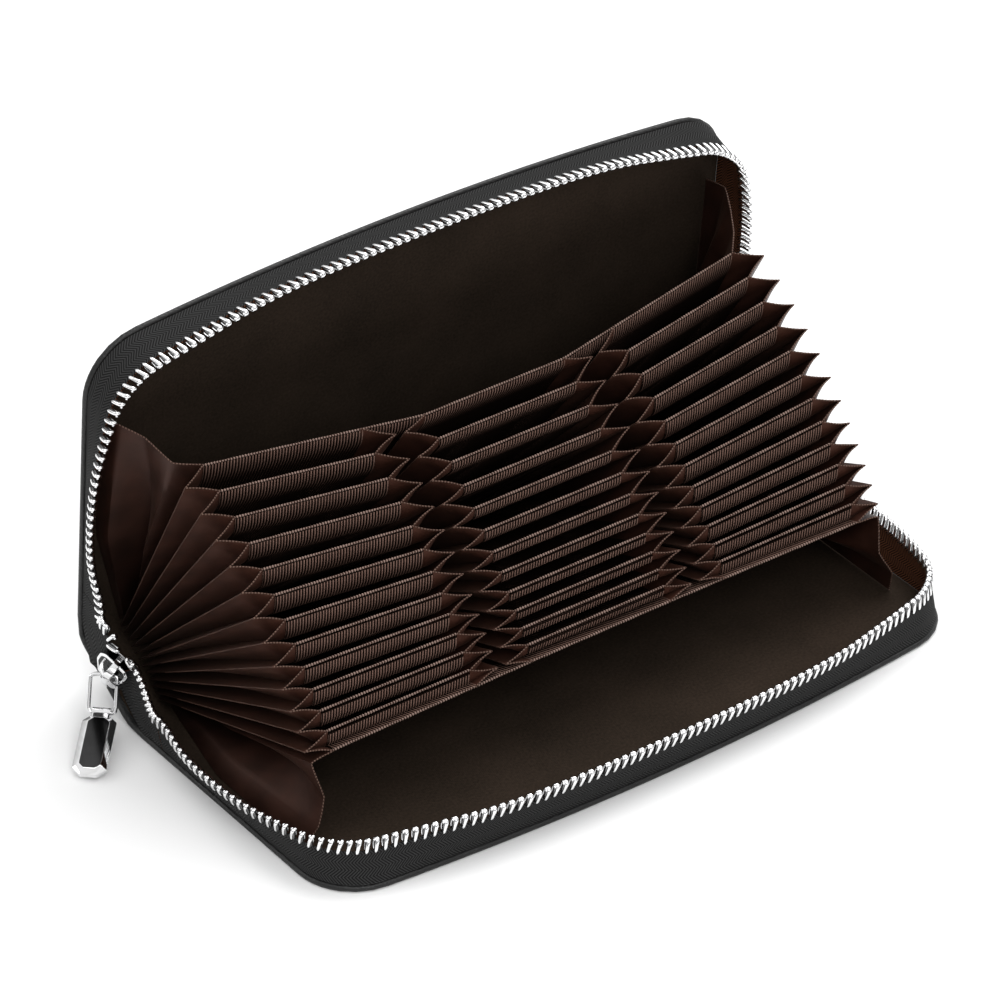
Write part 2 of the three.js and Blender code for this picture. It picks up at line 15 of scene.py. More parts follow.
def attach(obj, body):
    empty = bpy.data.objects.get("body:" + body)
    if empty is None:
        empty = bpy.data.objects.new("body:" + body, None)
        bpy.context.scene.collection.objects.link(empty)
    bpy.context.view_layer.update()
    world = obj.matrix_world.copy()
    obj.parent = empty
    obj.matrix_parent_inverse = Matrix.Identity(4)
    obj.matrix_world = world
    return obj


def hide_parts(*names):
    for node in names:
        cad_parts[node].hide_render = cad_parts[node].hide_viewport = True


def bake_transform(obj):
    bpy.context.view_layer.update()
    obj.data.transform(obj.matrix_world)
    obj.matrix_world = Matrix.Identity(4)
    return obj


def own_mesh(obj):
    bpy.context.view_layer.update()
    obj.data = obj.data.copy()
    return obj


MM = 0.001
WELD = 0.004
CORNER_STEPS = 4
SOFT = 0.12

# Covers and spine, as in the part's source.
COVER_LENGTH = 190.0
COVER_DEPTH = 91.0
CORNER_RADIUS = 16.0
FRONT_BOW = 3.9
LEATHER = 1.6
SPINE_HEIGHT = 25.0
SPINE_TILT = math.radians(34.8)
COVER_TILT = math.radians(84.8)
LINING_LOW = 0.3
LINING_HIGH = 0.8
LINING_INSET = 1.6
HINGE_REACH = 3.0
BLEND_REACH = HINGE_REACH + 1.0
SKIN_ROLL = 0.8
SKIN_ROWS = 30
SKIN_COLS = 48
SPINE_ROWS = 12
ROLL_STEPS = 6

# Bellows, after the part's source, but with thinner cloth and wider pleats.
COLUMN_PITCH = 58.4
LEAF_LENGTH = 41.2
LEAF_DEPTH = 67.8
LEAF_THICKNESS = 0.45
LEAF_ROWS = 13
ROOT_MARGIN = 2.6
ROOT_HEIGHT = 1.2
PLEAT_REACH = 7.4
PLEAT_THICKNESS = 0.25
PLEAT_START = 3.0
END_BACK = math.radians(64.7)
END_FRONT = math.radians(17.7)
MIDDLE_BACK = math.radians(57.0)
MIDDLE_FRONT = math.radians(18.2)
FAN_BOW = math.radians(3.6)
MIDDLE_END = 20.9
COLUMNS_END = COLUMN_PITCH + LEAF_LENGTH / 2

# Ribbed cloth: its ribs, the sway of a leaf, and the beaded lip that it ends in.
RIB_PITCH = 0.8
RIB_DEPTH = 0.16
RIB_STEPS = 4
LEAF_SWAY = 0.25
LEAF_STATIONS = (0.0, 12.0, 26.0, 40.0, 52.0, 59.0, 62.0, 63.5, 65.0, 66.3)
LIP_RADIUS = 0.36
LIP_BEAD = 0.22

# Satin cloth: a pleat's slack, its stitched hem and its crease, which is painted lighter as a highlight.
# Its points are closer at the hem.
PLEAT_SLACK = (0.15, 0.4)
PLEAT_COLS = 9
HEM_FAR = 8.0
HEM_NEAR = 6.0
HEM_RADIUS = 0.17
HEM_STEP = 0.3
HEM_WAVER = 0.25
HEM_TURN = 2.1
CREASE_RADIUS = 0.16

# The last part of a leaf hangs down from its lip: less in the middle column.
HANG_TURN = math.radians(112)
HANG_REACH = 5.0
HANG_MOST = 4.2
HANG_MIDDLE = 0.55
HANG_EASE = 1.4

# Gussets at their free edge: how far past the divider's end and how far off it each fold lies,
# and how far past the divider's end the foot on the cover lies.
LEFT_UPPER_FOLDS = ((0.0, 0.0), (6.5, 3.3), (8.9, 12.1), (12.7, 17.7))
RIGHT_UPPER_FOLDS = ((0.0, 0.0), (4.0, 5.0), (7.5, 11.5), (10.0, 17.5))
LOWER_FOLDS = ((0.0, 0.0), (6.5, -0.8), (5.0, -10.0), (7.9, -16.3))
GUSSETS = (
    ("left_upper", LEFT_UPPER_FOLDS, 12.6),
    ("right_upper", RIGHT_UPPER_FOLDS, 11.3),
    ("left_lower", LOWER_FOLDS, 11.3),
    ("right_lower", LOWER_FOLDS, 8.8),
)
GUSSET_TUCK = 6.0
GUSSET_ROOT = 0.35
GUSSET_SPREAD = 50.0
GUSSET_SOFTNESS = 0.3
GUSSET_ROWS = 24
GUSSET_COLS = 33
FOOT_SETBACK = 1.5
FOOT_LIFT = 0.3

# Zip, after the part's source, with finer teeth.
TAPE_INSET = 0.8
TAPE_WIDTH = 7.4
TAPE_THICKNESS = 0.5
TAPE_SEAT = 0.3
TAPE_TUCK = 1.0
TAPE_STEPS = 200
TAPE_ROWS = 8
TOOTH_PITCH = 2.45
END_PITCH = 1.6
TOOTH_SIZE = 0.92
ROW_START = 14.0
ROW_HOOK = 5.0
CORD_HEIGHT = 8.2
CORD_SIDE = 4.15
ROW_END = 12.05
MOUTH_SIDE = 1.6
END_STEPS = 61
WEB_ROWS = 7
SIDE_LEAN = math.radians(62)
FRONT_LEAN = math.radians(76)
CORNER_LEAN = math.radians(104)
END_LEAN = math.radians(80)
CORNER_SPREAD = 24.0
END_SPREAD = 12.0

# Slider, bail and tab, as in the part's source.
SLIDER_LENGTH = 10.6
SLIDER_CHAMFER = 1.2
SLIDER_PLATE = 0.8
SLIDER_CHANNEL = 2.0
SLIDER_SHIFT = 0.4
SLIDER_ALONG = 13.9
SLIDER_LOW = 0.5
SLIDER_TWIST = math.radians(35)
BAIL_WIRE = 1.0
BAIL_TOP = 3.6
BAIL_WIDTH = 6.6
BAIL_DROP = 9.2
BAIL_SHOULDER = 1.8
BAIL_HEIGHT = 1.35
BAIL_EASE = 0.2
BAIL_CORNER = 1.2
BAIL_STEPS = 120
BAIL_YAW = math.radians(-43)
BAIL_TILT = math.radians(59)
TAB_REACH = 21.0
TAB_WIDTH = 8.4
TAB_THICKNESS = 2.6
TAB_CHAMFER = 2.2
TAB_TILT = math.radians(10)
NECK_WIDTH = 4.4
NECK_THICKNESS = 2.4

# Slider as it looks: turned less than the joint's frame, with its mouth moved down the spine.
MOUTH_TWIST = math.radians(20)
MOUTH_LOW = -1.2
PLATE_REAR = 2.4
PLATE_MOUTH = 4.4
PLATE_START = 2.4
PLATE_END = 10.8
PLATE_BEVEL = 0.4
PLATE_DROP = 0.3
WEDGE_SIDE = 0.8
WEDGE_SETBACK = 3.4
WEDGE_LENGTH = 1.8
WEDGE_LAP = 0.2
WEDGE_BEVEL = 0.05
CROWN_ALONG = ((1.7, -1.7, 10.5), (3.3, -1.8, 10.1), (4.2, -1.9, 8.9), (4.3, -1.9, 7.2), (4.1, -2.2, 4.9),
               (3.5, -2.5, 3.5))
CROWN_ACROSS = ((1.7, 1.4, 8.8), (3.2, 1.0, 8.6), (4.1, -0.3, 7.9), (4.2, -1.9, 7.2), (4.0, -3.7, 6.2),
                (3.1, -4.9, 5.6), (1.7, -5.3, 5.3))
CROWN_WIDTH = 1.9
CROWN_BAND = 0.7
CROWN_STEPS = 40

# Tab as it looks: its body starts nearer its eye, and broad bevels frame its face.
EYE_SETBACK = 1.35
EYE_RADIUS = 0.95
EYE_WALL = 0.5
EYE_ENDS = (math.radians(215), math.radians(-35))
NECK_BEVEL = 0.2
TAB_BEVEL = 1.35
TAB_DROP = 0.85

# Sizes of what the materials show: grain, weave, fibres, blotches and creases.
LEATHER_GRAIN = 0.75
LEATHER_BLOTCH = 9.0
LINING_WEAVE = 0.36
LINING_SPECK = 0.7
LINING_BLOTCH = 30.0
# RIB_SHADE is how far below the lip the painted shade on the ribs reaches.
RIB_SHADE = 9.0
RIB_FIBRE = 0.25
LIP_FIBRE = 0.4
SATIN_THREAD = 0.3
SATIN_BLOTCH = 7.0
# SATIN_DEEP and SATIN_OPEN bound the satin's painted shade: darkest up to SATIN_DEEP from the root, gone
# from SATIN_OPEN on.
SATIN_DEEP = 12.0
SATIN_OPEN = 56.0
TAPE_BAND = 1.9
TAPE_TWILL = 0.85
TAPE_FIBRE = 0.3

CHAIN_X = COVER_LENGTH / 2 - TAPE_INSET
UPPER_TURN = COVER_TILT + SPINE_TILT

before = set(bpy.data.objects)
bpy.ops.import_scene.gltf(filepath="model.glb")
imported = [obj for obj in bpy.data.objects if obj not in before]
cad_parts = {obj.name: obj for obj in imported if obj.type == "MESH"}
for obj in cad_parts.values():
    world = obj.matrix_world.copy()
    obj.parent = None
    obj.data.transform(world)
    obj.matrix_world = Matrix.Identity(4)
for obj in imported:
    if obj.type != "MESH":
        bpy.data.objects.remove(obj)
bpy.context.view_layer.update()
random.seed(7)


# Frames: each takes x, a distance along a panel and a height off its inner face to the CAD's frame.

HINGE = Vector((0, COVER_DEPTH / 2, LEATHER))
LOWER_FRAME = Matrix.Translation(HINGE)
SPINE_FRAME = LOWER_FRAME @ Matrix.Rotation(SPINE_TILT, 4, "X")
UPPER_HINGE = SPINE_FRAME @ Matrix.Translation((0, SPINE_HEIGHT, 0))
UPPER_FRAME = UPPER_HINGE @ Matrix.Rotation(-UPPER_TURN, 4, "X")
COVER_FRAMES = (LOWER_FRAME, UPPER_FRAME)

# Each cover's name, the way its inside faces, and its frame.
COVERS = (("lower", 1, LOWER_FRAME), ("upper", -1, UPPER_FRAME))


def through(matrix, points):
    """Points, an array whose last axis is x, y and z, taken through a matrix."""
    m = np.array(matrix)
    return np.asarray(points, float) @ m[:3, :3].T + m[:3, 3]


def unit(vectors):
    """Vectors, along an array's last axis, made one long."""
    return vectors / np.maximum(np.linalg.norm(vectors, axis=-1, keepdims=True), 1e-9)


def square_to(ways, vectors):
    """Vectors made square to some ways, and one long."""
    return unit(vectors - ways * np.sum(vectors * ways, axis=-1, keepdims=True))


def smoothstep(value, low, high):
    share = min(max((value - low) / (high - low), 0.0), 1.0)
    return share * share * (3 - 2 * share)


# Meshes are made of patches: a grid of points, its UV, whether its columns close, and a material.

def patch(grid, uv=None, closed=False, paint=0):
    grid = np.asarray(grid, float)
    return grid, flat_uv(grid) if uv is None else np.asarray(uv, float), closed, paint


def flat_uv(grid):
    """Distances along a grid's columns and rows, so that patterns keep their real size."""
    across = np.linalg.norm(np.diff(grid, axis=1), axis=-1)
    along = np.linalg.norm(np.diff(grid, axis=0), axis=-1)
    u = np.concatenate([np.zeros((grid.shape[0], 1)), np.cumsum(across, axis=1)], axis=1)
    v = np.concatenate([np.zeros((1, grid.shape[1])), np.cumsum(along, axis=0)], axis=0)
    return np.stack([u, v], axis=-1)


def new_object(name, data):
    item = bpy.data.objects.new(name, data)
    bpy.context.scene.collection.objects.link(item)
    return item


def grid_faces(rows, cols, start, closed):
    index = start + np.arange(rows * cols).reshape(rows, cols)
    if closed:
        index = np.concatenate([index, index[:, :1]], axis=1)
    faces = np.stack([index[:-1, :-1], index[:-1, 1:], index[1:, 1:], index[1:, :-1]], axis=-1)
    return faces.reshape(-1, 4).tolist()


def make_mesh(name, patches, materials, sharp=40):
    points, coords, faces, paints = [], [], [], []
    start = 0
    for grid, uv, closed, paint in patches:
        rows, cols = grid.shape[:2]
        points.append(grid.reshape(-1, 3))
        coords.append(uv.reshape(-1, 2))
        new = grid_faces(rows, cols, start, closed)
        faces += new
        paints += [paint] * len(new)
        start += rows * cols
    mesh = bpy.data.meshes.new(name)
    mesh.from_pydata((np.concatenate(points) * MM).tolist(), [], faces)
    loops = np.zeros(len(mesh.loops), int)
    mesh.loops.foreach_get("vertex_index", loops)
    layer = mesh.uv_layers.new(name="UVMap")
    layer.data.foreach_set("uv", (np.concatenate(coords)[loops] * MM).astype(np.float32).ravel())
    mesh.polygons.foreach_set("material_index", paints)
    for material in materials:
        mesh.materials.append(material)
    work = bmesh.new()
    work.from_mesh(mesh)
    bmesh.ops.remove_doubles(work, verts=work.verts, dist=WELD * MM)
    bmesh.ops.dissolve_degenerate(work, edges=work.edges, dist=WELD * MM / 4)
    bmesh.ops.recalc_face_normals(work, faces=work.faces)
    work.to_mesh(mesh)
    work.free()
    mesh.shade_smooth()
    mesh.set_sharp_from_angle(angle=math.radians(sharp))
    return new_object(name, mesh)


EDGES = (np.s_[0, :], np.s_[-1, :], np.s_[:, 0], np.s_[:, -1])


def grid_normals(grid):
    return unit(np.cross(np.gradient(grid, axis=1), np.gradient(grid, axis=0)))


def sheet(grid, thickness, uv=None, paints=(0, 0)):
    """The patches of a closed thin sheet about a grid of points."""
    grid, uv, _, _ = patch(grid, uv)
    half = grid_normals(grid) * thickness / 2
    top, bottom = grid + half, grid - half
    edges = [patch(np.stack([top[pick], bottom[pick]]), np.stack([uv[pick]] * 2), paint=paints[0])
             for pick in EDGES]
    return [patch(top, uv, paint=paints[0]), patch(bottom, uv, paint=paints[1]), *edges]


def swept(centres, radii, sides=8, flat=(0, 0, 1), oval=1.0, capped=True, paint=0):
    """The patches of a tube along points, oval times as wide across as it is along flat."""
    centres = np.asarray(centres, float)
    tangent = unit(np.gradient(centres, axis=0))
    side = unit(np.cross(np.asarray(flat, float), tangent))
    up = np.cross(tangent, side)
    angles = np.linspace(0, 2 * math.pi, sides, endpoint=False)
    radii = np.broadcast_to(np.asarray(radii, float), (len(centres),))[:, None, None]
    ring = np.cos(angles)[None, :, None] * side[:, None] * oval
    ring = ring + np.sin(angles)[None, :, None] * up[:, None]
    grid = centres[:, None] + radii * ring
    return tube(grid, paint, paint) if capped else [patch(grid, closed=True, paint=paint)]


def tube(grid, paint=0, face=0):
    """The patches of a tube of rings, its ends closed by triangles to their centres."""
    patches = [patch(grid, closed=True, paint=paint)]
    for ring in (grid[0], grid[-1]):
        centre = np.broadcast_to(ring.mean(axis=0), ring.shape)
        patches.append(patch(np.stack([ring, centre]), closed=True, paint=face))
    return patches


def smooth_line(points, count):
    """A smooth line through points, with count points on it, as a Catmull and Rom curve."""
    points = np.asarray(points, float)
    knots = np.array([2 * points[0] - points[1], *points, 2 * points[-1] - points[-2]])
    places = np.linspace(0, len(points) - 1 - 1e-9, count)
    i = places.astype(int)
    t = (places - i)[:, None]
    a, b, c, d = (knots[i + k] for k in range(4))
    bend = (2 * a - 5 * b + 4 * c - d) * t * t + (3 * b - a - 3 * c + d) * t ** 3
    return 0.5 * (2 * b + (c - a) * t + bend)


def straight_line(points, count):
    """Count points on the straight lines between some points."""
    points = np.asarray(points, float)
    places = np.linspace(0, len(points) - 1, count)
    return np.stack([np.interp(places, np.arange(len(points)), axis) for axis in points.T], axis=1)


def outline_ways(corners):
    """An outline's corners, and the way from each to the next."""
    corners = np.asarray(corners, float)
    return corners, unit(np.roll(corners, -1, axis=0) - corners)


def rounded(corners, radius):
    """A convex outline with its corners rounded."""
    corners, ways = outline_ways(corners)
    start = corners - np.roll(ways, 1, axis=0) * radius
    end = corners + ways * radius
    t = np.linspace(0, 1, CORNER_STEPS)[:, None]
    turns = (1 - t) ** 2 * start[:, None] + 2 * t * (1 - t) * corners[:, None] + t * t * end[:, None]
    return turns.reshape(-1, 2)


def shrunk(corners, step):
    """A convex outline's corners once its edges have moved inwards by a step."""
    corners, ways = outline_ways(corners)
    normals = np.stack([-ways[:, 1], ways[:, 0]], axis=1)
    normals *= np.sign(np.sum(normals * (corners.mean(axis=0) - corners), axis=1, keepdims=True))
    before = np.roll(normals, 1, axis=0)
    return corners + step * (before + normals) / (1 + np.sum(before * normals, axis=1, keepdims=True))


def mirrored(left):
    """A whole outline, from its left half."""
    return [*left, *((-x, y) for x, y in reversed(left))]


def slab(corners, low, high, inset, drop, rounding=0.3, face=0):
    """The patches of a plate over a convex outline, its faces framed by sloping bevels."""
    rises = ((inset + SOFT * 2, 0.0), (inset + SOFT, 0.0), (inset, SOFT * 0.3), (0.0, drop))
    rings = []
    levels = [(step, low + rise) for step, rise in rises]
    levels += [(step, high - rise) for step, rise in reversed(rises)]
    for step, z in levels:
        outline = rounded(shrunk(corners, step), rounding)
        rings.append(np.column_stack([outline, np.full(len(outline), z)]))
    return tube(np.array(rings), face=face)


def moved(patches, matrix):
    return [(through(matrix, grid), uv, closed, paint) for grid, uv, closed, paint in patches]


def dress(piece, slot, *nodes, ride=None):
    """Hides the CAD nodes that a piece stands for, and hangs it on the body it rides; its slot is not
    used.
    """
    if ride:
        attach(piece, ride)
    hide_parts(*nodes)


# Materials.

class Nodes:
    """A node tree, with short ways to add and join its nodes."""

    def __init__(self, tree):
        self.tree = tree

    def node(self, kind, *values, operation=None, **named):
        """A new node. Its inputs are values or sockets, given in their order or by name."""
        node = self.tree.nodes.new(kind)
        if operation:
            node.operation = operation
        for key, value in [*enumerate(values), *named.items()]:
            if isinstance(value, bpy.types.NodeSocket):
                self.tree.links.new(value, node.inputs[key])
            else:
                node.inputs[key].default_value = value
        return node

    def ramp(self, value, dark, light, low, high):
        node = self.node("ShaderNodeValToRGB", value)
        stops = node.color_ramp.elements
        stops[0].position, stops[1].position = low, high
        stops[0].color, stops[1].color = (*dark, 1), (*light, 1)
        return node.outputs["Color"]


class Paint(Nodes):
    """A material whose nodes end in one shader."""

    def __init__(self, name, color, roughness, metallic=0.0):
        self.material = bpy.data.materials.new(name)
        self.material.use_nodes = True
        super().__init__(self.material.node_tree)
        self.shader = self.tree.nodes["Principled BSDF"]
        self.fix("Base Color", (*color, 1))
        self.fix("Roughness", roughness)
        self.fix("Metallic", metallic)

    def fix(self, name, value):
        self.shader.inputs[name].default_value = value

    def math(self, operation, *values):
        return self.node("ShaderNodeMath", *values, operation=operation).outputs[0]

    def coordinates(self):
        """The UV, which is in metres on every mesh, and its two parts."""
        uv = self.node("ShaderNodeTexCoord").outputs["UV"]
        parts = self.node("ShaderNodeSeparateXYZ", uv)
        return uv, parts.outputs[0], parts.outputs[1]

    def noise(self, vector, size, detail, roughness=0.5):
        node = self.node("ShaderNodeTexNoise", Vector=vector, Scale=1 / (size * MM), Detail=detail,
                         Roughness=roughness)
        return node.outputs["Fac"]

    def color(self, value):
        self.tree.links.new(value, self.shader.inputs["Base Color"])

    def spread(self, value, start, end, low, high):
        """A value between start and end, taken to one between low and high."""
        return self.node("ShaderNodeMapRange", value, start, end, low, high).outputs[0]

    def rough(self, value, low, high):
        self.tree.links.new(self.spread(value, 0.0, 1.0, low, high), self.shader.inputs["Roughness"])

    def bump(self, height, depth, strength):
        node = self.node("ShaderNodeBump", Height=height, Distance=depth * MM, Strength=strength)
        self.tree.links.new(node.outputs[0], self.shader.inputs["Normal"])

    def wave(self, coordinate, pitch):
        """A smooth wave of heights from 0 to 1 along one coordinate."""
        turn = self.math("MULTIPLY", coordinate, 2 * math.pi / (pitch * MM))
        return self.math("MULTIPLY_ADD", self.math("SINE", turn), 0.5, 0.5)


def leather_paint():
    paint = Paint("leather_skin", (0.008, 0.008, 0.008), 0.45)
    uv = paint.coordinates()[0]
    cells = paint.node("ShaderNodeTexVoronoi", Vector=uv, Scale=1 / (LEATHER_GRAIN * MM))
    blotch = paint.noise(uv, LEATHER_BLOTCH, 3.0)
    paint.color(paint.ramp(blotch, (0.007, 0.007, 0.007), (0.012, 0.012, 0.012), 0.3, 0.7))
    paint.rough(blotch, 0.36, 0.5)
    paint.bump(cells.outputs["Distance"], 0.14, 0.8)
    paint.fix("Specular IOR Level", 0.4)
    return paint.material


def cloth(paint, sheen=0.0, tint=(0.8, 0.45, 0.35, 1)):
    """Cloth hardly mirrors its surroundings."""
    paint.fix("Specular IOR Level", 0.12)
    paint.fix("Sheen Weight", sheen)
    paint.fix("Sheen Roughness", 0.4)
    paint.fix("Sheen Tint", (0.9, 0.55, 0.42, 1))
    paint.fix("Specular Tint", tint)
    return paint.material


def lining_paint():
    paint = Paint("lining_cloth", (0.02, 0.014, 0.011), 0.85)
    uv, u, v = paint.coordinates()
    weave = paint.math("MULTIPLY", paint.wave(u, LINING_WEAVE), paint.wave(v, LINING_WEAVE))
    blotch = paint.noise(uv, LINING_BLOTCH, 4.0, 0.6)
    speck = paint.noise(uv, LINING_SPECK, 1.0)
    tone = paint.math("MULTIPLY", speck, 0.45)
    tone = paint.math("ADD", tone, paint.math("MULTIPLY", blotch, 0.55))
    paint.color(paint.ramp(tone, (0.011, 0.0092, 0.0068), (0.038, 0.027, 0.0195), 0.25, 0.8))
    paint.bump(weave, 0.04, 0.6)
    return cloth(paint)


def ribbed_paint():
    """Ribs along the leaf's depth, with painted shade: near black in the grooves between them, and darker
    further down from the lip.
    """
    paint = Paint("ribbed_cloth", (0.07, 0.042, 0.034), 0.6)
    uv, u, v = paint.coordinates()
    ribs = paint.wave(u, RIB_PITCH)
    # Painted shade: the ribs darken from the lip down to RIB_SHADE below it.
    shade_below_lip = paint.spread(v, (LEAF_DEPTH - RIB_SHADE) * MM, LEAF_DEPTH * MM, 0.3, 1.0)
    ribs = paint.math("MULTIPLY", ribs, shade_below_lip)
    fibre = paint.noise(uv, RIB_FIBRE, 2.0)
    # Painted shade: the grooves between the ribs are near black and the rib tops light.
    paint.color(paint.ramp(ribs, (0.0025, 0.0014, 0.001), (0.28, 0.17, 0.135), 0.4, 1.0))
    paint.rough(fibre, 0.5, 0.72)
    paint.bump(fibre, 0.03, 0.4)
    return cloth(paint, 0.05)


def lip_paint(name, dark, light):
    paint = Paint(name, light, 0.55)
    uv, _, v = paint.coordinates()
    beads = paint.wave(paint.math("ADD", v, RIB_PITCH / 4 * MM), RIB_PITCH)
    fibre = paint.noise(uv, LIP_FIBRE, 2.0)
    tone = paint.math("MULTIPLY", beads, paint.math("ADD", fibre, 0.5))
    paint.color(paint.ramp(tone, dark, light, 0.2, 0.9))
    paint.bump(fibre, 0.02, 0.4)
    return cloth(paint, 0.05)


def satin_paint(name, dark, light, shade_at_root):
    """Satin with painted shade: its tone falls to a given share of itself down at the root of the fan."""
    paint = Paint(name, light, 0.42)
    uv, u, v = paint.coordinates()
    threads = paint.wave(u, SATIN_THREAD)
    crease = paint.noise(uv, SATIN_BLOTCH, 3.0)
    # Painted shade: the tone is multiplied down to a share of itself towards the fan's root.
    share = paint.spread(v, SATIN_DEEP * MM, SATIN_OPEN * MM, shade_at_root, 1.0)
    paint.color(paint.ramp(paint.math("MULTIPLY", crease, share), dark, light, 0.12, 0.7))
    paint.rough(crease, 0.4, 0.55)
    height = paint.math("MULTIPLY", threads, 0.06)
    paint.bump(paint.math("ADD", height, crease), 0.25, 0.35)
    cloth(paint, 0.03)
    paint.fix("Specular IOR Level", 0.4)
    return paint.material


def tape_paint(name, dark, light):
    """Twill that changes direction in bands along the tape, which gives its herringbone."""
    paint = Paint(name, light, 0.78)
    uv, u, v = paint.coordinates()
    band = paint.math("PINGPONG", v, TAPE_BAND * MM)
    twill = paint.wave(paint.math("ADD", u, band), TAPE_TWILL)
    fibre = paint.noise(uv, TAPE_FIBRE, 2.0)
    mix = paint.math("ADD", paint.math("MULTIPLY", twill, 0.75), paint.math("MULTIPLY", fibre, 0.25))
    paint.color(paint.ramp(mix, dark, light, 0.2, 0.8))
    paint.bump(mix, 0.12, 1.0)
    return cloth(paint, tint=(1, 1, 1, 1))


def metal_paint(name, tone, roughness, grain):
    color = (tone, tone, tone * 1.01)
    paint = Paint(name, color, roughness, 1.0)
    smear = paint.noise(paint.coordinates()[0], grain, 3.0)
    paint.rough(smear, roughness * 0.7, roughness * 1.4)
    paint.color(paint.ramp(smear, (tone * 0.9,) * 3, color, 0.35, 0.6))
    return paint.material


def floor_paint():
    paint = Paint("floor_paint", (0.9, 0.9, 0.9), 0.9)
    paint.fix("Specular IOR Level", 0.1)
    return paint.material


LEATHER_SKIN = leather_paint()
LINING_CLOTH = lining_paint()
RIBBED = ribbed_paint()
LIP_THREAD = lip_paint("lip_thread", (0.03, 0.016, 0.012), (0.27, 0.19, 0.16))
HEM_THREAD = lip_paint("hem_thread", (0.035, 0.019, 0.014), (0.15, 0.095, 0.076))
SATIN = satin_paint("satin_cloth", (0.003, 0.0012, 0.0009), (0.05, 0.0195, 0.013), 0.25)
# Painted shade: a darker copy of the satin for the gussets, whose panels lie in deep folds.
WEB_SATIN_SHADED = satin_paint("satin_web_shaded", (0.002, 0.0008, 0.0006), (0.029, 0.0112, 0.0075), 0.4)
# Painted highlight: a lighter copy of the satin for the crease on each fold, which stays light down into
# the fan.
CREASE_HIGHLIGHT = satin_paint("satin_crease_highlight", (0.03, 0.014, 0.01), (0.15, 0.085, 0.065), 0.8)
TAPE_OUTSIDE = tape_paint("zip_tape_outside", (0.005, 0.005, 0.005), (0.034, 0.034, 0.034))
TAPE_INSIDE = tape_paint("zip_tape_inside", (0.006, 0.0025, 0.0015), (0.12, 0.046, 0.022))
TEETH = metal_paint("zip_teeth", 0.93, 0.16, 1.2)
# Painted shade: a dark copy of the teeth's metal on each tooth's core, where its hollow lies in shadow.
TEETH_HOLLOW_SHADE = metal_paint("zip_teeth_hollow_shade", 0.22, 0.35, 0.8)
CHROME = metal_paint("zip_pull", 0.86, 0.07, 3.0)
# Painted reflection: the faces of the tab and the slider's plates are near black, for the dark
# surroundings they mirror.
DARK_FACE_REFLECTION = metal_paint("zip_pull_face_reflection", 0.03, 0.1, 3.0)


# The outline of a cover, as the part's source draws it.

FILLET_X = COVER_LENGTH / 2 - CORNER_RADIUS
BOW_RADIUS = FILLET_X ** 2 / (2 * FRONT_BOW) + FRONT_BOW / 2
BOW_Y = BOW_RADIUS - COVER_DEPTH
FILLET_Y = BOW_Y - math.sqrt((BOW_RADIUS - CORNER_RADIUS) ** 2 - FILLET_X ** 2)
CORNER_TURN = math.atan2(FILLET_Y - BOW_Y, -FILLET_X) + math.pi
FRONT_TURN = math.pi - 2 * CORNER_TURN


def outline_length(inset):
    corner = (CORNER_RADIUS - inset) * CORNER_TURN
    return -2 * FILLET_Y + 2 * corner + (BOW_RADIUS - inset) * FRONT_TURN


def outline_at(distance, inset):
    """Point and direction of the outline, from the left end of the hinge line round the front."""
    side = COVER_LENGTH / 2 - inset
    length = outline_length(inset)
    if distance > length / 2:
        point, way = outline_at(length - distance, inset)
        return np.array([-point[0], point[1]]), np.array([way[0], -way[1]])
    if distance <= -FILLET_Y:
        return np.array([-side, -distance]), np.array([0.0, -1.0])
    along = distance + FILLET_Y
    radius = CORNER_RADIUS - inset
    centre = np.array([-FILLET_X, FILLET_Y])
    angle = math.pi + along / radius
    if along >= radius * CORNER_TURN:
        along -= radius * CORNER_TURN
        radius = BOW_RADIUS - inset
        centre = np.array([0.0, BOW_Y])
        angle = math.pi + CORNER_TURN + along / radius
    spoke = np.array([math.cos(angle), math.sin(angle)])
    return centre + radius * spoke, np.array([-spoke[1], spoke[0]])


# Leather and lining: flat patterns that are folded over the two hinges.

def pattern_grid(inset, rows, cols):
    """Rows of (x, q) from a cover's front edge to its hinge, where q is 0, and half the spine."""
    length = outline_length(inset)
    corner = -FILLET_Y + (CORNER_RADIUS - inset) * CORNER_TURN / 2
    across = np.linspace(0, 1, cols)
    down = np.linspace(0, 1, rows) ** 0.8
    front = np.array([outline_at(corner + (length - 2 * corner) * v, inset)[0] for v in across])
    left = np.array([outline_at(corner * v, inset)[0] for v in down])
    right = left * (-1, 1)
    hinge = np.stack([left[0, 0] * (1 - 2 * across), np.zeros(cols)], axis=1)
    r = down[:, None, None]
    t = across[None, :, None]
    grid = (1 - r) * hinge + r * front + (1 - t) * left[:, None] + t * right[:, None]
    grid -= (1 - r) * ((1 - t) * hinge[0] + t * hinge[-1]) + r * ((1 - t) * front[0] + t * front[-1])
    spine = np.linspace(0, SPINE_HEIGHT / 2, SPINE_ROWS + 1)[1:]
    strip = [[(x, q) for x in hinge[:, 0]] for q in spine]
    return np.concatenate([grid[::-1], np.array(strip)])


def fold(x, q, height, turn):
    """Where a point of a flat pattern goes once it bends by turn over a hinge at q = 0."""
    if q <= -HINGE_REACH:
        return x, q, height
    if q >= HINGE_REACH:
        return (x, q * math.cos(turn) - height * math.sin(turn),
                q * math.sin(turn) + height * math.cos(turn))
    radius = HINGE_REACH / math.tan(turn / 2)
    angle = turn * (q + HINGE_REACH) / (2 * HINGE_REACH)
    arm = radius - height
    return x, arm * math.sin(angle) - HINGE_REACH, radius - arm * math.cos(angle)


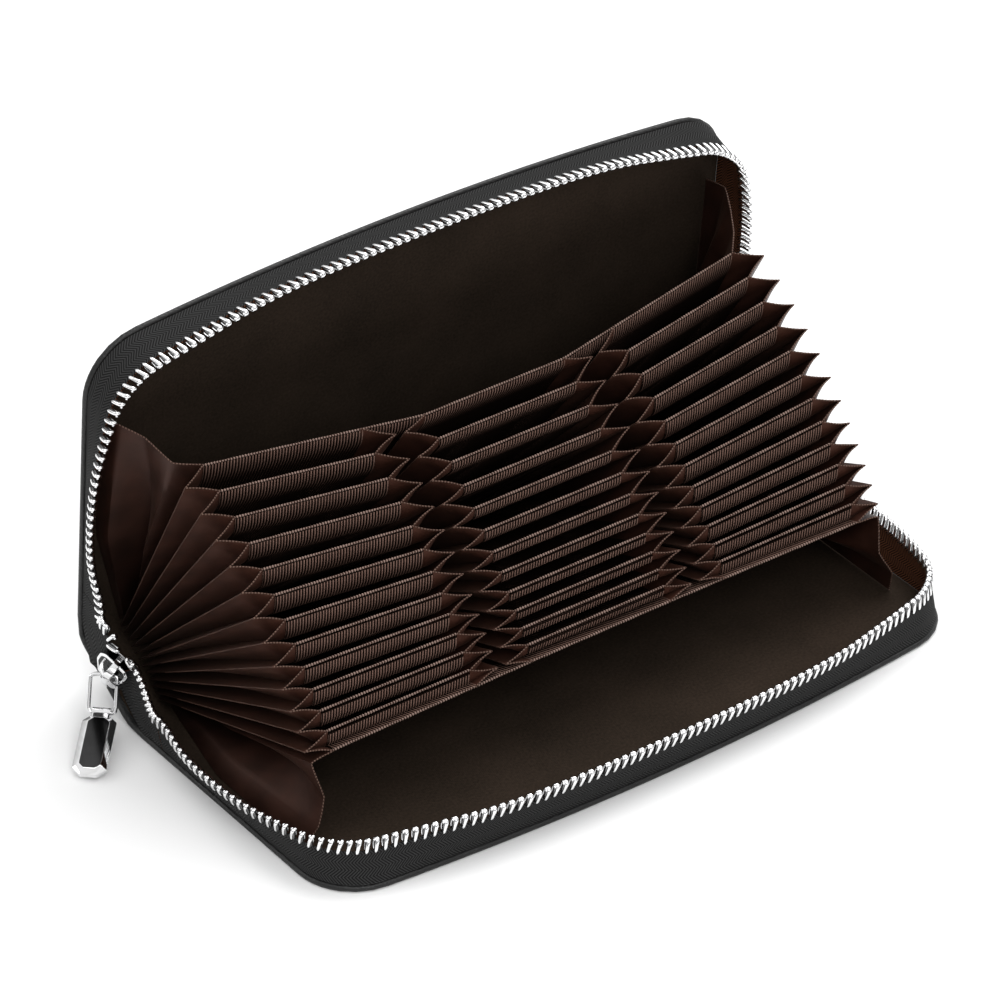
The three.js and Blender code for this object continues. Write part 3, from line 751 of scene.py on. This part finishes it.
def folded(grid, height, upper):
    """A pattern's points once folded, at a height above the leather's inner face."""
    turn = math.pi - UPPER_TURN if upper else SPINE_TILT
    points = np.array([[fold(x, q, height, turn) for x, q in row] for row in grid])
    return through(COVER_FRAMES[upper], points * (1, 1, -1 if upper else 1))


def skin_patches(inset, low, high, roll, upper):
    """A folded slab of a cover and half the spine, its outer edges rolled over."""
    outer = pattern_grid(inset, SKIN_ROWS, SKIN_COLS)
    inner = pattern_grid(inset + roll, SKIN_ROWS, SKIN_COLS)
    patches = [patch(folded(inner, height, upper), outer) for height in (low, high)]
    steps = ROLL_STEPS if roll else 1
    for pick in (np.s_[:, 0], np.s_[0, :], np.s_[:, -1]):
        rings = []
        for k in range(steps + 1):
            angle = math.pi * (k / steps - 0.5)
            ring = inner[pick] + (outer[pick] - inner[pick]) * math.cos(angle)
            height = (low + high) / 2 + (high - low) / 2 * math.sin(angle)
            rings.append(folded(ring[None], height, upper)[0])
        patches.append(patch(rings))
    seam = [folded(inner[-1:], height, upper)[0] for height in (low, high)]
    return [*patches, patch(seam)]


def blend_over(piece, upper, on_cover, on_spine):
    """Bakes the piece's transform into its mesh."""
    on_cover, on_spine = tuple(on_cover * MM), tuple(on_spine * MM)
    if upper:
        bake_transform(piece)
    else:
        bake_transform(piece)


def make_folded(name, patches, material, upper, slot, *nodes):
    piece = make_mesh(name, patches, [material])
    on_cover = through(COVER_FRAMES[upper], [0, -BLEND_REACH, 0])
    on_spine = through(SPINE_FRAME, [0, SPINE_HEIGHT - BLEND_REACH if upper else BLEND_REACH, 0])
    blend_over(piece, upper, on_cover, on_spine)
    dress(piece, slot, *nodes)


def make_shell():
    for label, upper in (("lower", False), ("upper", True)):
        skin = skin_patches(0.0, -LEATHER, 0.0, SKIN_ROLL, upper)
        make_folded(f"{label}_leather_skin", skin, LEATHER_SKIN, upper,
                    "leather", f"{label}_cover_leather", "spine_leather")
        lining = skin_patches(LINING_INSET, LINING_LOW, LINING_HIGH, 0.0, upper)
        make_folded(f"{label}_lining_cloth", lining, LINING_CLOTH, upper,
                    "lining", f"{label}_cover_lining", "spine_lining")


# Bellows. The fan's tilt rises from the middle column to the ends of the wallet.

COLUMNS = {"left": -1, "middle": 0, "right": 1}
ROOT_PITCH = (SPINE_HEIGHT - 2 * ROOT_MARGIN) / (LEAF_ROWS - 1)


def fan_tilt(row, x):
    share = (row - 1) / (LEAF_ROWS - 1)
    middle = MIDDLE_BACK + (MIDDLE_FRONT - MIDDLE_BACK) * share
    end = END_BACK + (END_FRONT - END_BACK) * share
    tilt = np.interp(abs(x), (MIDDLE_END, COLUMNS_END), (middle, end))
    return float(tilt) - 4 * FAN_BOW * share * (1 - share)


def fan_point(x, row, distance, off=0.0):
    """A point of the fan: how far from its row's root, and how far off its leaf."""
    turn = fan_tilt(row, x) + SPINE_TILT
    along = SPINE_HEIGHT - ROOT_MARGIN - (row - 1) * ROOT_PITCH
    along += off * math.sin(turn) - distance * math.cos(turn)
    return x, along, ROOT_HEIGHT + distance * math.sin(turn) + off * math.cos(turn)


def hang(x, row, distance):
    """How far a leaf sags off its plane: it hangs from its lip before it turns to its root."""
    if row == LEAF_ROWS:
        return 0.0
    turn = max(HANG_TURN - fan_tilt(row, x) - SPINE_TILT, 0.0)
    share = HANG_MIDDLE + (1 - HANG_MIDDLE) * smoothstep(abs(x), MIDDLE_END, COLUMN_PITCH - MIDDLE_END)
    reach = HANG_REACH * share
    most = reach * math.tan(turn)
    if most > HANG_MOST * share:
        most = HANG_MOST * share
        reach = most / math.tan(turn)
    from_lip = LEAF_DEPTH - distance
    if from_lip < reach:
        return -most * math.sin(math.pi / 2 * from_lip / reach)
    return -most * (distance / (LEAF_DEPTH - reach)) ** HANG_EASE


def fan_line(points):
    return through(SPINE_FRAME, [fan_point(*point) for point in points])


def fan_sheet(rows):
    return np.array([fan_line(row) for row in rows])


def leaf_patches(low, high, row):
    """One ribbed leaf between two places along the wallet, and the beaded lip on its free edge."""
    steps = int(round((high - low) / RIB_PITCH)) * RIB_STEPS
    xs = np.linspace(low, high, steps + 1)
    sway = LEAF_SWAY * random.uniform(-1, 1)
    edge = LEAF_DEPTH - LIP_RADIUS
    rows, uv = [], []
    for depth in (*LEAF_STATIONS, edge):
        bow = sway * math.sin(math.pi * depth / edge)
        rows.append([(x, row, depth, bow + hang(x, row, depth)) for x in xs])
        uv.append([(x - low + RIB_PITCH / 4, depth) for x in xs])
    grid = fan_sheet(rows)
    wave = RIB_DEPTH * np.cos(2 * math.pi * (xs - low) / RIB_PITCH)
    half = grid_normals(grid) * (LEAF_THICKNESS / 2 + wave[:, None])
    top, bottom = grid + half, grid - half
    patches = [patch(bottom, uv), patch(top, uv)]
    patches += [patch(np.stack([top[pick], bottom[pick]])) for pick in EDGES]
    line = fan_line([(x, row, edge) for x in xs])
    radii = LIP_RADIUS * (1 - LIP_BEAD + LIP_BEAD * np.cos(2 * math.pi * (xs - low) / RIB_PITCH))
    return patches + swept(line, radii, paint=1)


def make_leaf(name, node, low, high, row):
    piece = make_mesh(name, leaf_patches(low, high, row), [RIBBED, LIP_THREAD])
    flatten(piece, row)
    dress(piece, "ribbed_cloth", node)


def make_leaves():
    half = LEAF_LENGTH / 2
    for label, column in COLUMNS.items():
        centre = column * COLUMN_PITCH
        for row in range(2, LEAF_ROWS):
            name, node = f"{label}_card_leaf_{row:02d}", f"{label}_leaf_{row:02d}"
            make_leaf(name, node, centre - half, centre + half, row)
    for label, row in (("back", 1), ("front", LEAF_ROWS)):
        make_leaf(f"{label}_full_divider", f"{label}_divider", -COLUMNS_END, COLUMNS_END, row)


def hem(line):
    """A stitched edge that wavers a little, along the free edge of a pleat."""
    steps = max(int(np.linalg.norm(line[-1] - line[0]) / HEM_STEP), 4)
    radii = HEM_RADIUS * (1 + HEM_WAVER * np.sin(np.arange(steps) * HEM_TURN + random.uniform(0, 6)))
    return swept(straight_line(line, steps), radii, sides=6, paint=1)


def wing_patches(column, way, row, step):
    """Half a pleat, from the end of a leaf out to the fold halfway to its neighbour."""
    depths = np.concatenate([np.linspace(PLEAT_START, LEAF_DEPTH - HEM_FAR, 12),
                             np.linspace(LEAF_DEPTH - HEM_NEAR, LEAF_DEPTH, 6)])
    shares = np.linspace(0, 1, PLEAT_COLS)
    belly = random.uniform(*PLEAT_SLACK)
    rows = []
    for depth in depths:
        line = []
        for share in shares:
            x = column * COLUMN_PITCH + way * (LEAF_LENGTH / 2 + PLEAT_REACH * share)
            off = hang(column * COLUMN_PITCH + way * LEAF_LENGTH / 2, row, depth) * (1 - share)
            off -= belly * step * math.sin(math.pi * share) * depth / LEAF_DEPTH
            line.append((x, row + step * share / 2, depth, off))
        rows.append(line)
    grid = fan_sheet(rows)
    # The crease tube along the fold wears the lighter satin as a painted highlight.
    crease = swept(grid[2:, -1], CREASE_RADIUS, sides=6, paint=2)
    return sheet(grid, PLEAT_THICKNESS) + hem(grid[-1]) + crease


def flatten(piece, row):
    """The piece goes with a row: it hangs on the row's body, with a mesh of its own."""
    root = fan_line([(0.0, row, 0.0)])[0] * MM
    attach(piece, f"row_{row:02d}")
    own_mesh(piece)


def make_pleats():
    """Each row carries the halves of the pleats at its leaves' ends."""
    for label, columns in (("side", ("left", "right")), ("middle", ("middle",))):
        for row in range(1, LEAF_ROWS + 1):
            patches = []
            for column in columns:
                for way in (-1, 1):
                    for step in (-1, 1):
                        if 1 <= row + step / 2 <= LEAF_ROWS:
                            patches += wing_patches(COLUMNS[column], way, row, step)
            piece = make_mesh(f"{label}_pleats_{row:02d}", patches, [SATIN, HEM_THREAD, CREASE_HIGHLIGHT], sharp=50)
            flatten(piece, row)
            nodes = [f"{column}_column_{end}_pleats" for column in columns for end in ("left", "right")]
            dress(piece, "satin_cloth", *nodes)


def gusset_patches(way, row, matrix, side, folds, foot):
    """The web from a divider's end to its cover, over its folds to a foot beside the tape."""
    rows = []
    for depth in np.linspace(PLEAT_START, LEAF_DEPTH, GUSSET_ROWS):
        opened = min(1.0, GUSSET_ROOT + depth / GUSSET_SPREAD)
        tuck = GUSSET_TUCK * math.sin(math.pi * depth / LEAF_DEPTH)
        outs = [out * opened - (tuck if i == 2 else 0.0) for i, (out, off) in enumerate(folds)]
        knots = fan_line([(way * (COLUMNS_END + out), row, depth, off * depth / LEAF_DEPTH)
                          for out, (_, off) in zip(outs, folds)])
        x = way * (COLUMNS_END + foot * opened)
        on_cover = through(matrix, [x, FOOT_SETBACK - depth, side * (LINING_HIGH + FOOT_LIFT)])
        knots = np.vstack([knots, on_cover])
        soft, crisp = smooth_line(knots, GUSSET_COLS), straight_line(knots, GUSSET_COLS)
        rows.append(soft * GUSSET_SOFTNESS + crisp * (1 - GUSSET_SOFTNESS))
    grid = np.array(rows)
    return sheet(grid, PLEAT_THICKNESS) + hem(grid[-1])


def make_gussets():
    for label, folds, foot in GUSSETS:
        way = -1 if label.startswith("left") else 1
        upper = label.endswith("upper")
        row = 1 if upper else LEAF_ROWS
        patches = gusset_patches(way, row, COVER_FRAMES[upper], -1 if upper else 1, folds, foot)
        # The gussets wear the darker satin as painted shade.
        piece = make_mesh(f"{label}_web", patches, [WEB_SATIN_SHADED, HEM_THREAD], sharp=50)
        flatten(piece, row)
        dress(piece, "satin_cloth", f"{label}_gusset")


# Zip: stations hold a base point, the way up the tape, the way along it and its outward normal.

def tape_lean(distance, length):
    corner_at = COVER_DEPTH + CORNER_RADIUS * (math.pi / 4 - 1)
    from_end = min(distance, length - distance)
    past = smoothstep(from_end, corner_at, corner_at + CORNER_SPREAD)
    flat = SIDE_LEAN + (FRONT_LEAN - SIDE_LEAN) * past
    corner = math.exp(-((from_end - corner_at) / CORNER_SPREAD) ** 2)
    end = math.exp(-((from_end - ROW_START) / END_SPREAD) ** 2)
    return flat + (CORNER_LEAN - flat) * corner + (END_LEAN - flat) * end


def tape_station(distance, side, matrix):
    point, way = outline_at(distance, TAPE_INSET)
    lean = tape_lean(distance, outline_length(TAPE_INSET))
    across = math.cos(lean)
    base = np.array([point[0], point[1], side * TAPE_SEAT])
    up = np.array([way[1] * across, -way[0] * across, side * math.sin(lean)])
    run = np.array([way[0], way[1], 0.0])
    turn = np.array(matrix)[:3, :3]
    return through(matrix, base), turn @ up, turn @ run, side * turn @ np.cross(run, up)


def at_station(station, points):
    """Points given along the run, off the outside and up the tape, placed at a station."""
    base, up, run, out = station
    points = np.asarray(points, float)
    return base + points[..., :1] * run + points[..., 1:2] * out + points[..., 2:3] * up


TOOTH_LINE = (
    (-0.30, 0.52, -0.25), (-0.22, 0.68, 0.25), (-0.04, 0.74, 1.1), (0.2, 0.74, 2.1), (0.44, 0.58, 2.85),
    (0.5, 0.12, 3.16), (0.36, -0.36, 3.1), (0.08, -0.66, 2.7), (-0.1, -0.74, 1.9), (-0.16, -0.74, 1.0),
    (-0.22, -0.68, 0.25), (-0.3, -0.52, -0.25),
)
TOOTH_RADII = (0.34, 0.48, 0.5, 0.52, 0.6, 0.62, 0.6, 0.56, 0.52, 0.5, 0.48, 0.34)
TOOTH_STEPS = 26
TOOTH_CORE = (-0.05, 0.0, 1.35)
TOOTH_KNOB = (-0.34, 0.12, 3.0)


def ball(centre, radii, rings=7, sides=10, paint=0):
    """The patches of an ellipsoid."""
    lifts = np.linspace(-math.pi / 2, math.pi / 2, rings)
    turns = np.linspace(0, 2 * math.pi, sides, endpoint=False)
    whole = [[(math.cos(t) * math.cos(a), math.cos(t) * math.sin(a), math.sin(t)) for a in turns]
             for t in lifts]
    return [patch(np.array(centre) + np.array(radii) * whole, closed=True, paint=paint)]


def tooth_patches():
    """One tooth, upright on the cord: a hook that clasps both faces of the tape, with a knob."""
    line = smooth_line(TOOTH_LINE, TOOTH_STEPS)
    radii = straight_line(np.transpose([TOOTH_RADII]), TOOTH_STEPS)[:, 0]
    hook = swept(line, radii, sides=10, flat=(1, 0, 0.2), oval=0.7)
    # The core wears the dark metal: painted shade in the tooth's hollow.
    core = ball(TOOTH_CORE, (0.5, 0.62, 1.75), paint=1)
    knob = ball(TOOTH_KNOB, (0.32, 0.42, 0.34), rings=6, sides=8)
    return hook + core + knob


def placed(patches, station, lift):
    return [(at_station(station, grid * TOOTH_SIZE + np.array([0, 0, lift])), uv, closed, paint)
            for grid, uv, closed, paint in patches]


def tape_mesh(name, grid, facing_out, uv=None):
    paints = (1, 0) if facing_out else (0, 1)
    return make_mesh(name, sheet(grid, TAPE_THICKNESS, uv, paints), [TAPE_INSIDE, TAPE_OUTSIDE])


def teeth_mesh(name, patches):
    return make_mesh(name, patches, [TEETH, TEETH_HOLLOW_SHADE], sharp=60)


def make_cover_zips():
    length = outline_length(TAPE_INSET)
    run = length - 2 * ROW_START
    tooth = tooth_patches()
    count = int(run / TOOTH_PITCH)
    for label, side, matrix in COVERS:
        places = np.linspace(ROW_START, length - ROW_START, TAPE_STEPS)
        stations = [tape_station(place, side, matrix) for place in places]
        heights = np.linspace(0, TAPE_WIDTH + TAPE_TUCK, TAPE_ROWS)
        grid = np.array([[at_station(s, (0, 0, h)) for s in stations] for h in heights])
        uv = [[(place - ROW_START, h) for place in places] for h in heights]
        tape = tape_mesh(f"{label}_tape_cloth", grid, side > 0, uv)
        dress(tape, "zip_tape", f"{label}_zip_tape", ride=f"{label}_shell")
        patches = []
        for i in range(count):
            station = tape_station(ROW_START + run * (i + 0.5) / count, side, matrix)
            patches += placed(tooth, station, CORD_HEIGHT)
        teeth = teeth_mesh(f"{label}_tooth_row", patches)
        dress(teeth, "zip_teeth", f"{label}_zip_teeth", ride=f"{label}_shell")


# Ends of the zip, which cross the spine: at the left they run into the slider.

def spine_end(way, twist):
    shift = Matrix.Translation((way * (CHAIN_X + SLIDER_SHIFT), SLIDER_ALONG, 0))
    return SPINE_FRAME @ shift @ Matrix.Rotation(-way * twist, 4, "Z")


def mouth_frame(way):
    """The frame that both rows of teeth run down: Z out of the spine, Y towards the upper cover."""
    if way > 0:
        return spine_end(way, 0.0)
    return spine_end(way, MOUTH_TWIST) @ Matrix.Translation((0, MOUTH_LOW, 0))


def end_web(row, feet, mouth, toward):
    """Tape from the spine up to a row of teeth, and on from the row's end into the mouth."""
    web = [[foot, top] for foot, top in zip(feet, row)]
    start = np.array([[0, toward * (CORD_SIDE + TAPE_TUCK), TAPE_SEAT], [0, toward * CORD_SIDE, ROW_END]])
    end = np.array([[0, toward * MOUTH_SIDE, TAPE_SEAT], [0, toward * MOUTH_SIDE, SLIDER_LENGTH / 2]])
    for share in np.linspace(0.2, 1, 5):
        web.append(through(mouth, start * (1 - share) + end * share))
    foot, top = np.array(web).transpose(1, 0, 2)
    heights = np.linspace(0, 1, WEB_ROWS)[:, None, None]
    return foot * (1 - heights) + top * heights


def end_teeth(row, feet, last, way, side):
    """Teeth along a row: they stand in the plane of its tape, and turn to last at the mouth."""
    gaps = np.linalg.norm(np.diff(row, axis=0), axis=1)
    along = np.concatenate([[0], np.cumsum(gaps)]) / gaps.sum()
    heading = unit(np.gradient(row, axis=0))
    lift = square_to(heading, row - feet)
    late = along[:, None] ** 3
    lift = square_to(heading, lift * (1 - late) + last * late)
    tooth = tooth_patches()
    patches = []
    count = int(round(gaps.sum() / END_PITCH))
    for i in range(count):
        k = int(np.argmin(np.abs(along - (i + 0.5) / count)))
        forward = heading[k] * way
        outside = side * np.cross(forward, lift[k])
        patches += placed(tooth, (row[k], lift[k], forward, outside), 0.0)
    return patches


def make_zip_ends():
    length = outline_length(TAPE_INSET)
    for label, way in (("left", -1), ("right", 1)):
        mouth = mouth_frame(way)
        across, along, rise = np.array(mouth)[:3, :3].T
        for half, side, matrix in COVERS:
            toward = -side
            stations = []
            for share in (0, 1 / 3, 2 / 3):
                distance = (ROW_START - TAPE_SEAT) * (1 - share)
                stations.append(tape_station(distance if way < 0 else length - distance, side, matrix))
            base, up, run, _ = stations[0]
            start = base + up * CORD_HEIGHT
            end = through(mouth, [0, toward * CORD_SIDE, ROW_END])
            row = bezier([start, start + run * way * ROW_HOOK, end + rise * ROW_HOOK, end], END_STEPS)
            root = through(mouth, [0, toward * (CORD_SIDE + TAPE_TUCK), TAPE_SEAT])
            feet = smooth_line([station[0] for station in stations] + [root], END_STEPS)
            grid = end_web(row, feet, mouth, toward)
            facing_out = grid_normals(grid)[WEB_ROWS // 2, END_STEPS // 2] @ across * way > 0
            web = tape_mesh(f"{label}_{half}_zip_web", grid, facing_out)
            blend_over(web, side < 0, start, end)
            dress(web, "zip_tape", f"{label}_zip_end")
            teeth = end_teeth(row, feet, along * side, way, side)
            teeth = teeth_mesh(f"{label}_{half}_end_teeth", teeth)
            blend_over(teeth, side < 0, start, end)
            dress(teeth, "zip_teeth", f"{label}_zip_end")


def bezier(knots, count):
    a, b, c, d = (np.asarray(knot, float) for knot in knots)
    t = np.linspace(0, 1, count)[:, None]
    return (1 - t) ** 3 * a + 3 * (1 - t) ** 2 * t * b + 3 * (1 - t) * t * t * c + t ** 3 * d


# Slider, bail and tab.

def make_slider():
    """Two shaped plates over a wedge, with a crown of two crossed straps on the outer one."""
    local = mouth_frame(-1)
    upright = Matrix(((0, 0, 1, 0), (1, 0, 0, 0), (0, 1, 0, 0), (0, 0, 0, 1)))
    mouth, cut = PLATE_MOUTH, SLIDER_CHAMFER
    shoulder = (PLATE_START + PLATE_END) / 2
    outline = mirrored([(cut - mouth, PLATE_END), (-mouth, PLATE_END - cut), (-mouth, shoulder),
                        (-PLATE_REAR, PLATE_START)])
    half = SLIDER_CHANNEL / 2
    patches = []
    for low in (-half - SLIDER_PLATE, half):
        # The plate faces take the near-black metal, a painted reflection.
        plate = slab(outline, low, low + SLIDER_PLATE, PLATE_BEVEL, PLATE_DROP, rounding=0.5, face=1)
        patches += moved(plate, local @ upright)
    start = PLATE_END - WEDGE_SETBACK
    end = start + WEDGE_LENGTH
    wedge = mirrored([(-WEDGE_SIDE, end), (-WEDGE_SIDE, start)])
    high = half + WEDGE_LAP
    patches += moved(slab(wedge, -high, high, WEDGE_BEVEL, WEDGE_BEVEL, rounding=0.2), local @ upright)
    for points, wide in ((CROWN_ALONG, (0, 1, 0)), (CROWN_ACROSS, (0, 0, 1))):
        line = smooth_line([(-out, y - MOUTH_LOW, z) for out, y, z in points], CROWN_STEPS)
        patches += moved(strap_patches(line, wide, CROWN_WIDTH, CROWN_BAND), local)
    piece = make_mesh("chrome_slider", patches, [CHROME, DARK_FACE_REFLECTION], sharp=35)
    dress(piece, "zip_pull", "slider_body", ride="spine")


def strap_patches(line, wide, width, thickness):
    """A flat strap with rounded edges along a line, its width square to the line."""
    tangent = unit(np.gradient(line, axis=0))
    wide = square_to(tangent, np.asarray(wide, float))
    thick = np.cross(tangent, wide)
    grid = []
    for t in np.linspace(0, 2 * math.pi, 20, endpoint=False):
        a = math.copysign(abs(math.cos(t)) ** 0.35, math.cos(t)) * width / 2
        b = math.copysign(abs(math.sin(t)) ** 0.5, math.sin(t)) * thickness / 2
        grid.append(line + wide * a + thick * b)
    return tube(np.array(grid).transpose(1, 0, 2))


def make_pull():
    seat = -(SLIDER_CHANNEL / 2 + SLIDER_PLATE + BAIL_HEIGHT)
    pivot = spine_end(-1, SLIDER_TWIST) @ Vector((seat, 0, SLIDER_LOW + SLIDER_LENGTH / 2))
    yaw = Matrix.Rotation(BAIL_YAW, 4, "Z")
    hung = Matrix.Translation(pivot) @ yaw @ Matrix.Rotation(BAIL_TILT, 4, "X")
    top, side = BAIL_TOP / 2, BAIL_WIDTH / 2
    bend = BAIL_WIRE / 2
    right = [(top, 0), (side - BAIL_EASE, -bend), (side, -BAIL_SHOULDER), (side, -BAIL_DROP / 2),
             (side, BAIL_CORNER - BAIL_DROP), (side - bend, -BAIL_DROP), (top, -BAIL_DROP)]
    loop = [(0, 0), *right, (0, -BAIL_DROP), *[(-x, y) for x, y in reversed(right)], (0, 0)]
    line = smooth_line([(x, y, 0) for x, y in loop], BAIL_STEPS)
    bail = moved(swept(line, BAIL_WIRE / 2, sides=12, capped=False), hung)
    wire = make_mesh("wire_bail", bail, [CHROME])
    dress(wire, "zip_pull", "puller_bail", ride="bail")
    eye = hung @ Vector((0, -BAIL_DROP, 0))
    flat = Matrix.Translation(eye) @ yaw @ Matrix.Rotation(TAB_TILT, 4, "X")
    half, cut = TAB_WIDTH / 2, TAB_CHAMFER
    outline = mirrored([(cut - half, -EYE_SETBACK), (-half, -EYE_SETBACK - cut), (-half, cut - TAB_REACH),
                        (cut - half, -TAB_REACH)])
    high = TAB_THICKNESS / 2
    # The tab's face takes the near-black metal, a painted reflection.
    plate = slab(outline, -high, high, TAB_BEVEL, TAB_DROP, rounding=0.25, face=1)
    neck_side, neck_back = NECK_WIDTH / 2, -EYE_SETBACK - cut
    corners = mirrored([(-neck_side, neck_back), (-neck_side, -EYE_RADIUS)])
    neck = slab(corners, -NECK_THICKNESS / 2, NECK_THICKNESS / 2, NECK_BEVEL, NECK_BEVEL)
    turns = np.linspace(*EYE_ENDS, 18)
    ring = [[(x, EYE_RADIUS * math.cos(t), EYE_RADIUS * math.sin(t)) for t in turns]
            for x in (-neck_side, neck_side)]
    collar = sheet(ring, EYE_WALL)
    piece = make_mesh("chrome_tab", moved(plate + neck + collar, flat), [CHROME, DARK_FACE_REFLECTION], sharp=25)
    dress(piece, "zip_pull", "puller_tab", ride="tab")


make_shell()
make_leaves()
make_pleats()
make_gussets()
make_cover_zips()
make_zip_ends()
make_slider()
make_pull()


# Floor, light and camera.

CAMERA_PLACE = (-709.1, -917.8, 851.0)
CAMERA_SHIFT = (0.005, 0.0325)
CAMERA_AZIMUTH = math.radians(-36.93)
CAMERA_ELEVATION = math.radians(34.83)
CAMERA_ROLL = math.radians(0.48)
CAMERA_LENS = 212.3

# Lamps, in metres and watts: name, place, width and power.
LAMPS = (
    ("key", (0.9, 0.4, 1.5), 1.5, 20),
    ("fill", (-0.5, -1.3, 1.3), 0.9, 10),
    ("rim", (-1.2, 0.8, 0.9), 0.7, 3),
)
LAMP_AIM = (0, 0, 0.03)
ROOM_LEVEL = 0.95
FLOOR_WIDTH = 6


def make_stage():
    bpy.ops.mesh.primitive_plane_add(size=FLOOR_WIDTH)
    floor = bpy.context.object
    floor.name = "floor"
    floor.data.materials.append(floor_paint())


def make_camera():
    data = bpy.data.cameras.new("camera")
    camera = new_object("camera", data)
    data.lens = CAMERA_LENS
    data.shift_x, data.shift_y = CAMERA_SHIFT
    data.clip_end = 20.0
    aim = Matrix.Translation(Vector(CAMERA_PLACE) * MM) @ Matrix.Rotation(CAMERA_AZIMUTH, 4, "Z")
    aim @= Matrix.Rotation(math.pi / 2 - CAMERA_ELEVATION, 4, "X")
    camera.matrix_world = aim @ Matrix.Rotation(CAMERA_ROLL, 4, "Z")
    bpy.context.scene.camera = camera


def make_light():
    """A room that is dark near the floor and white overhead, and plain white behind the part."""
    world = bpy.data.worlds.new("studio")
    bpy.context.scene.world = world
    world.use_nodes = True
    room = Nodes(world.node_tree)
    around = room.node("ShaderNodeTexCoord").outputs["Generated"]
    height = room.node("ShaderNodeSeparateXYZ", around).outputs["Z"]
    walls = room.ramp(height, (0.1, 0.1, 0.1), (1, 1, 1), 0.05, 0.55)
    lit = room.node("ShaderNodeBackground", Color=walls, Strength=ROOM_LEVEL).outputs[0]
    white = room.tree.nodes["Background"]
    white.inputs["Color"].default_value = (1, 1, 1, 1)
    seen = room.node("ShaderNodeLightPath").outputs["Is Camera Ray"]
    both = room.node("ShaderNodeMixShader", seen, lit, white.outputs[0]).outputs[0]
    room.tree.links.new(both, room.tree.nodes["World Output"].inputs[0])
    for name, place, size, power in LAMPS:
        data = bpy.data.lights.new(name, "AREA")
        data.size = size
        data.energy = power
        light = new_object(name, data)
        light.location = place
        light.rotation_euler = (Vector(LAMP_AIM) - Vector(place)).to_track_quat("-Z", "Y").to_euler()


make_stage()
make_camera()
make_light()
bpy.context.scene.view_settings.view_transform = "Standard"
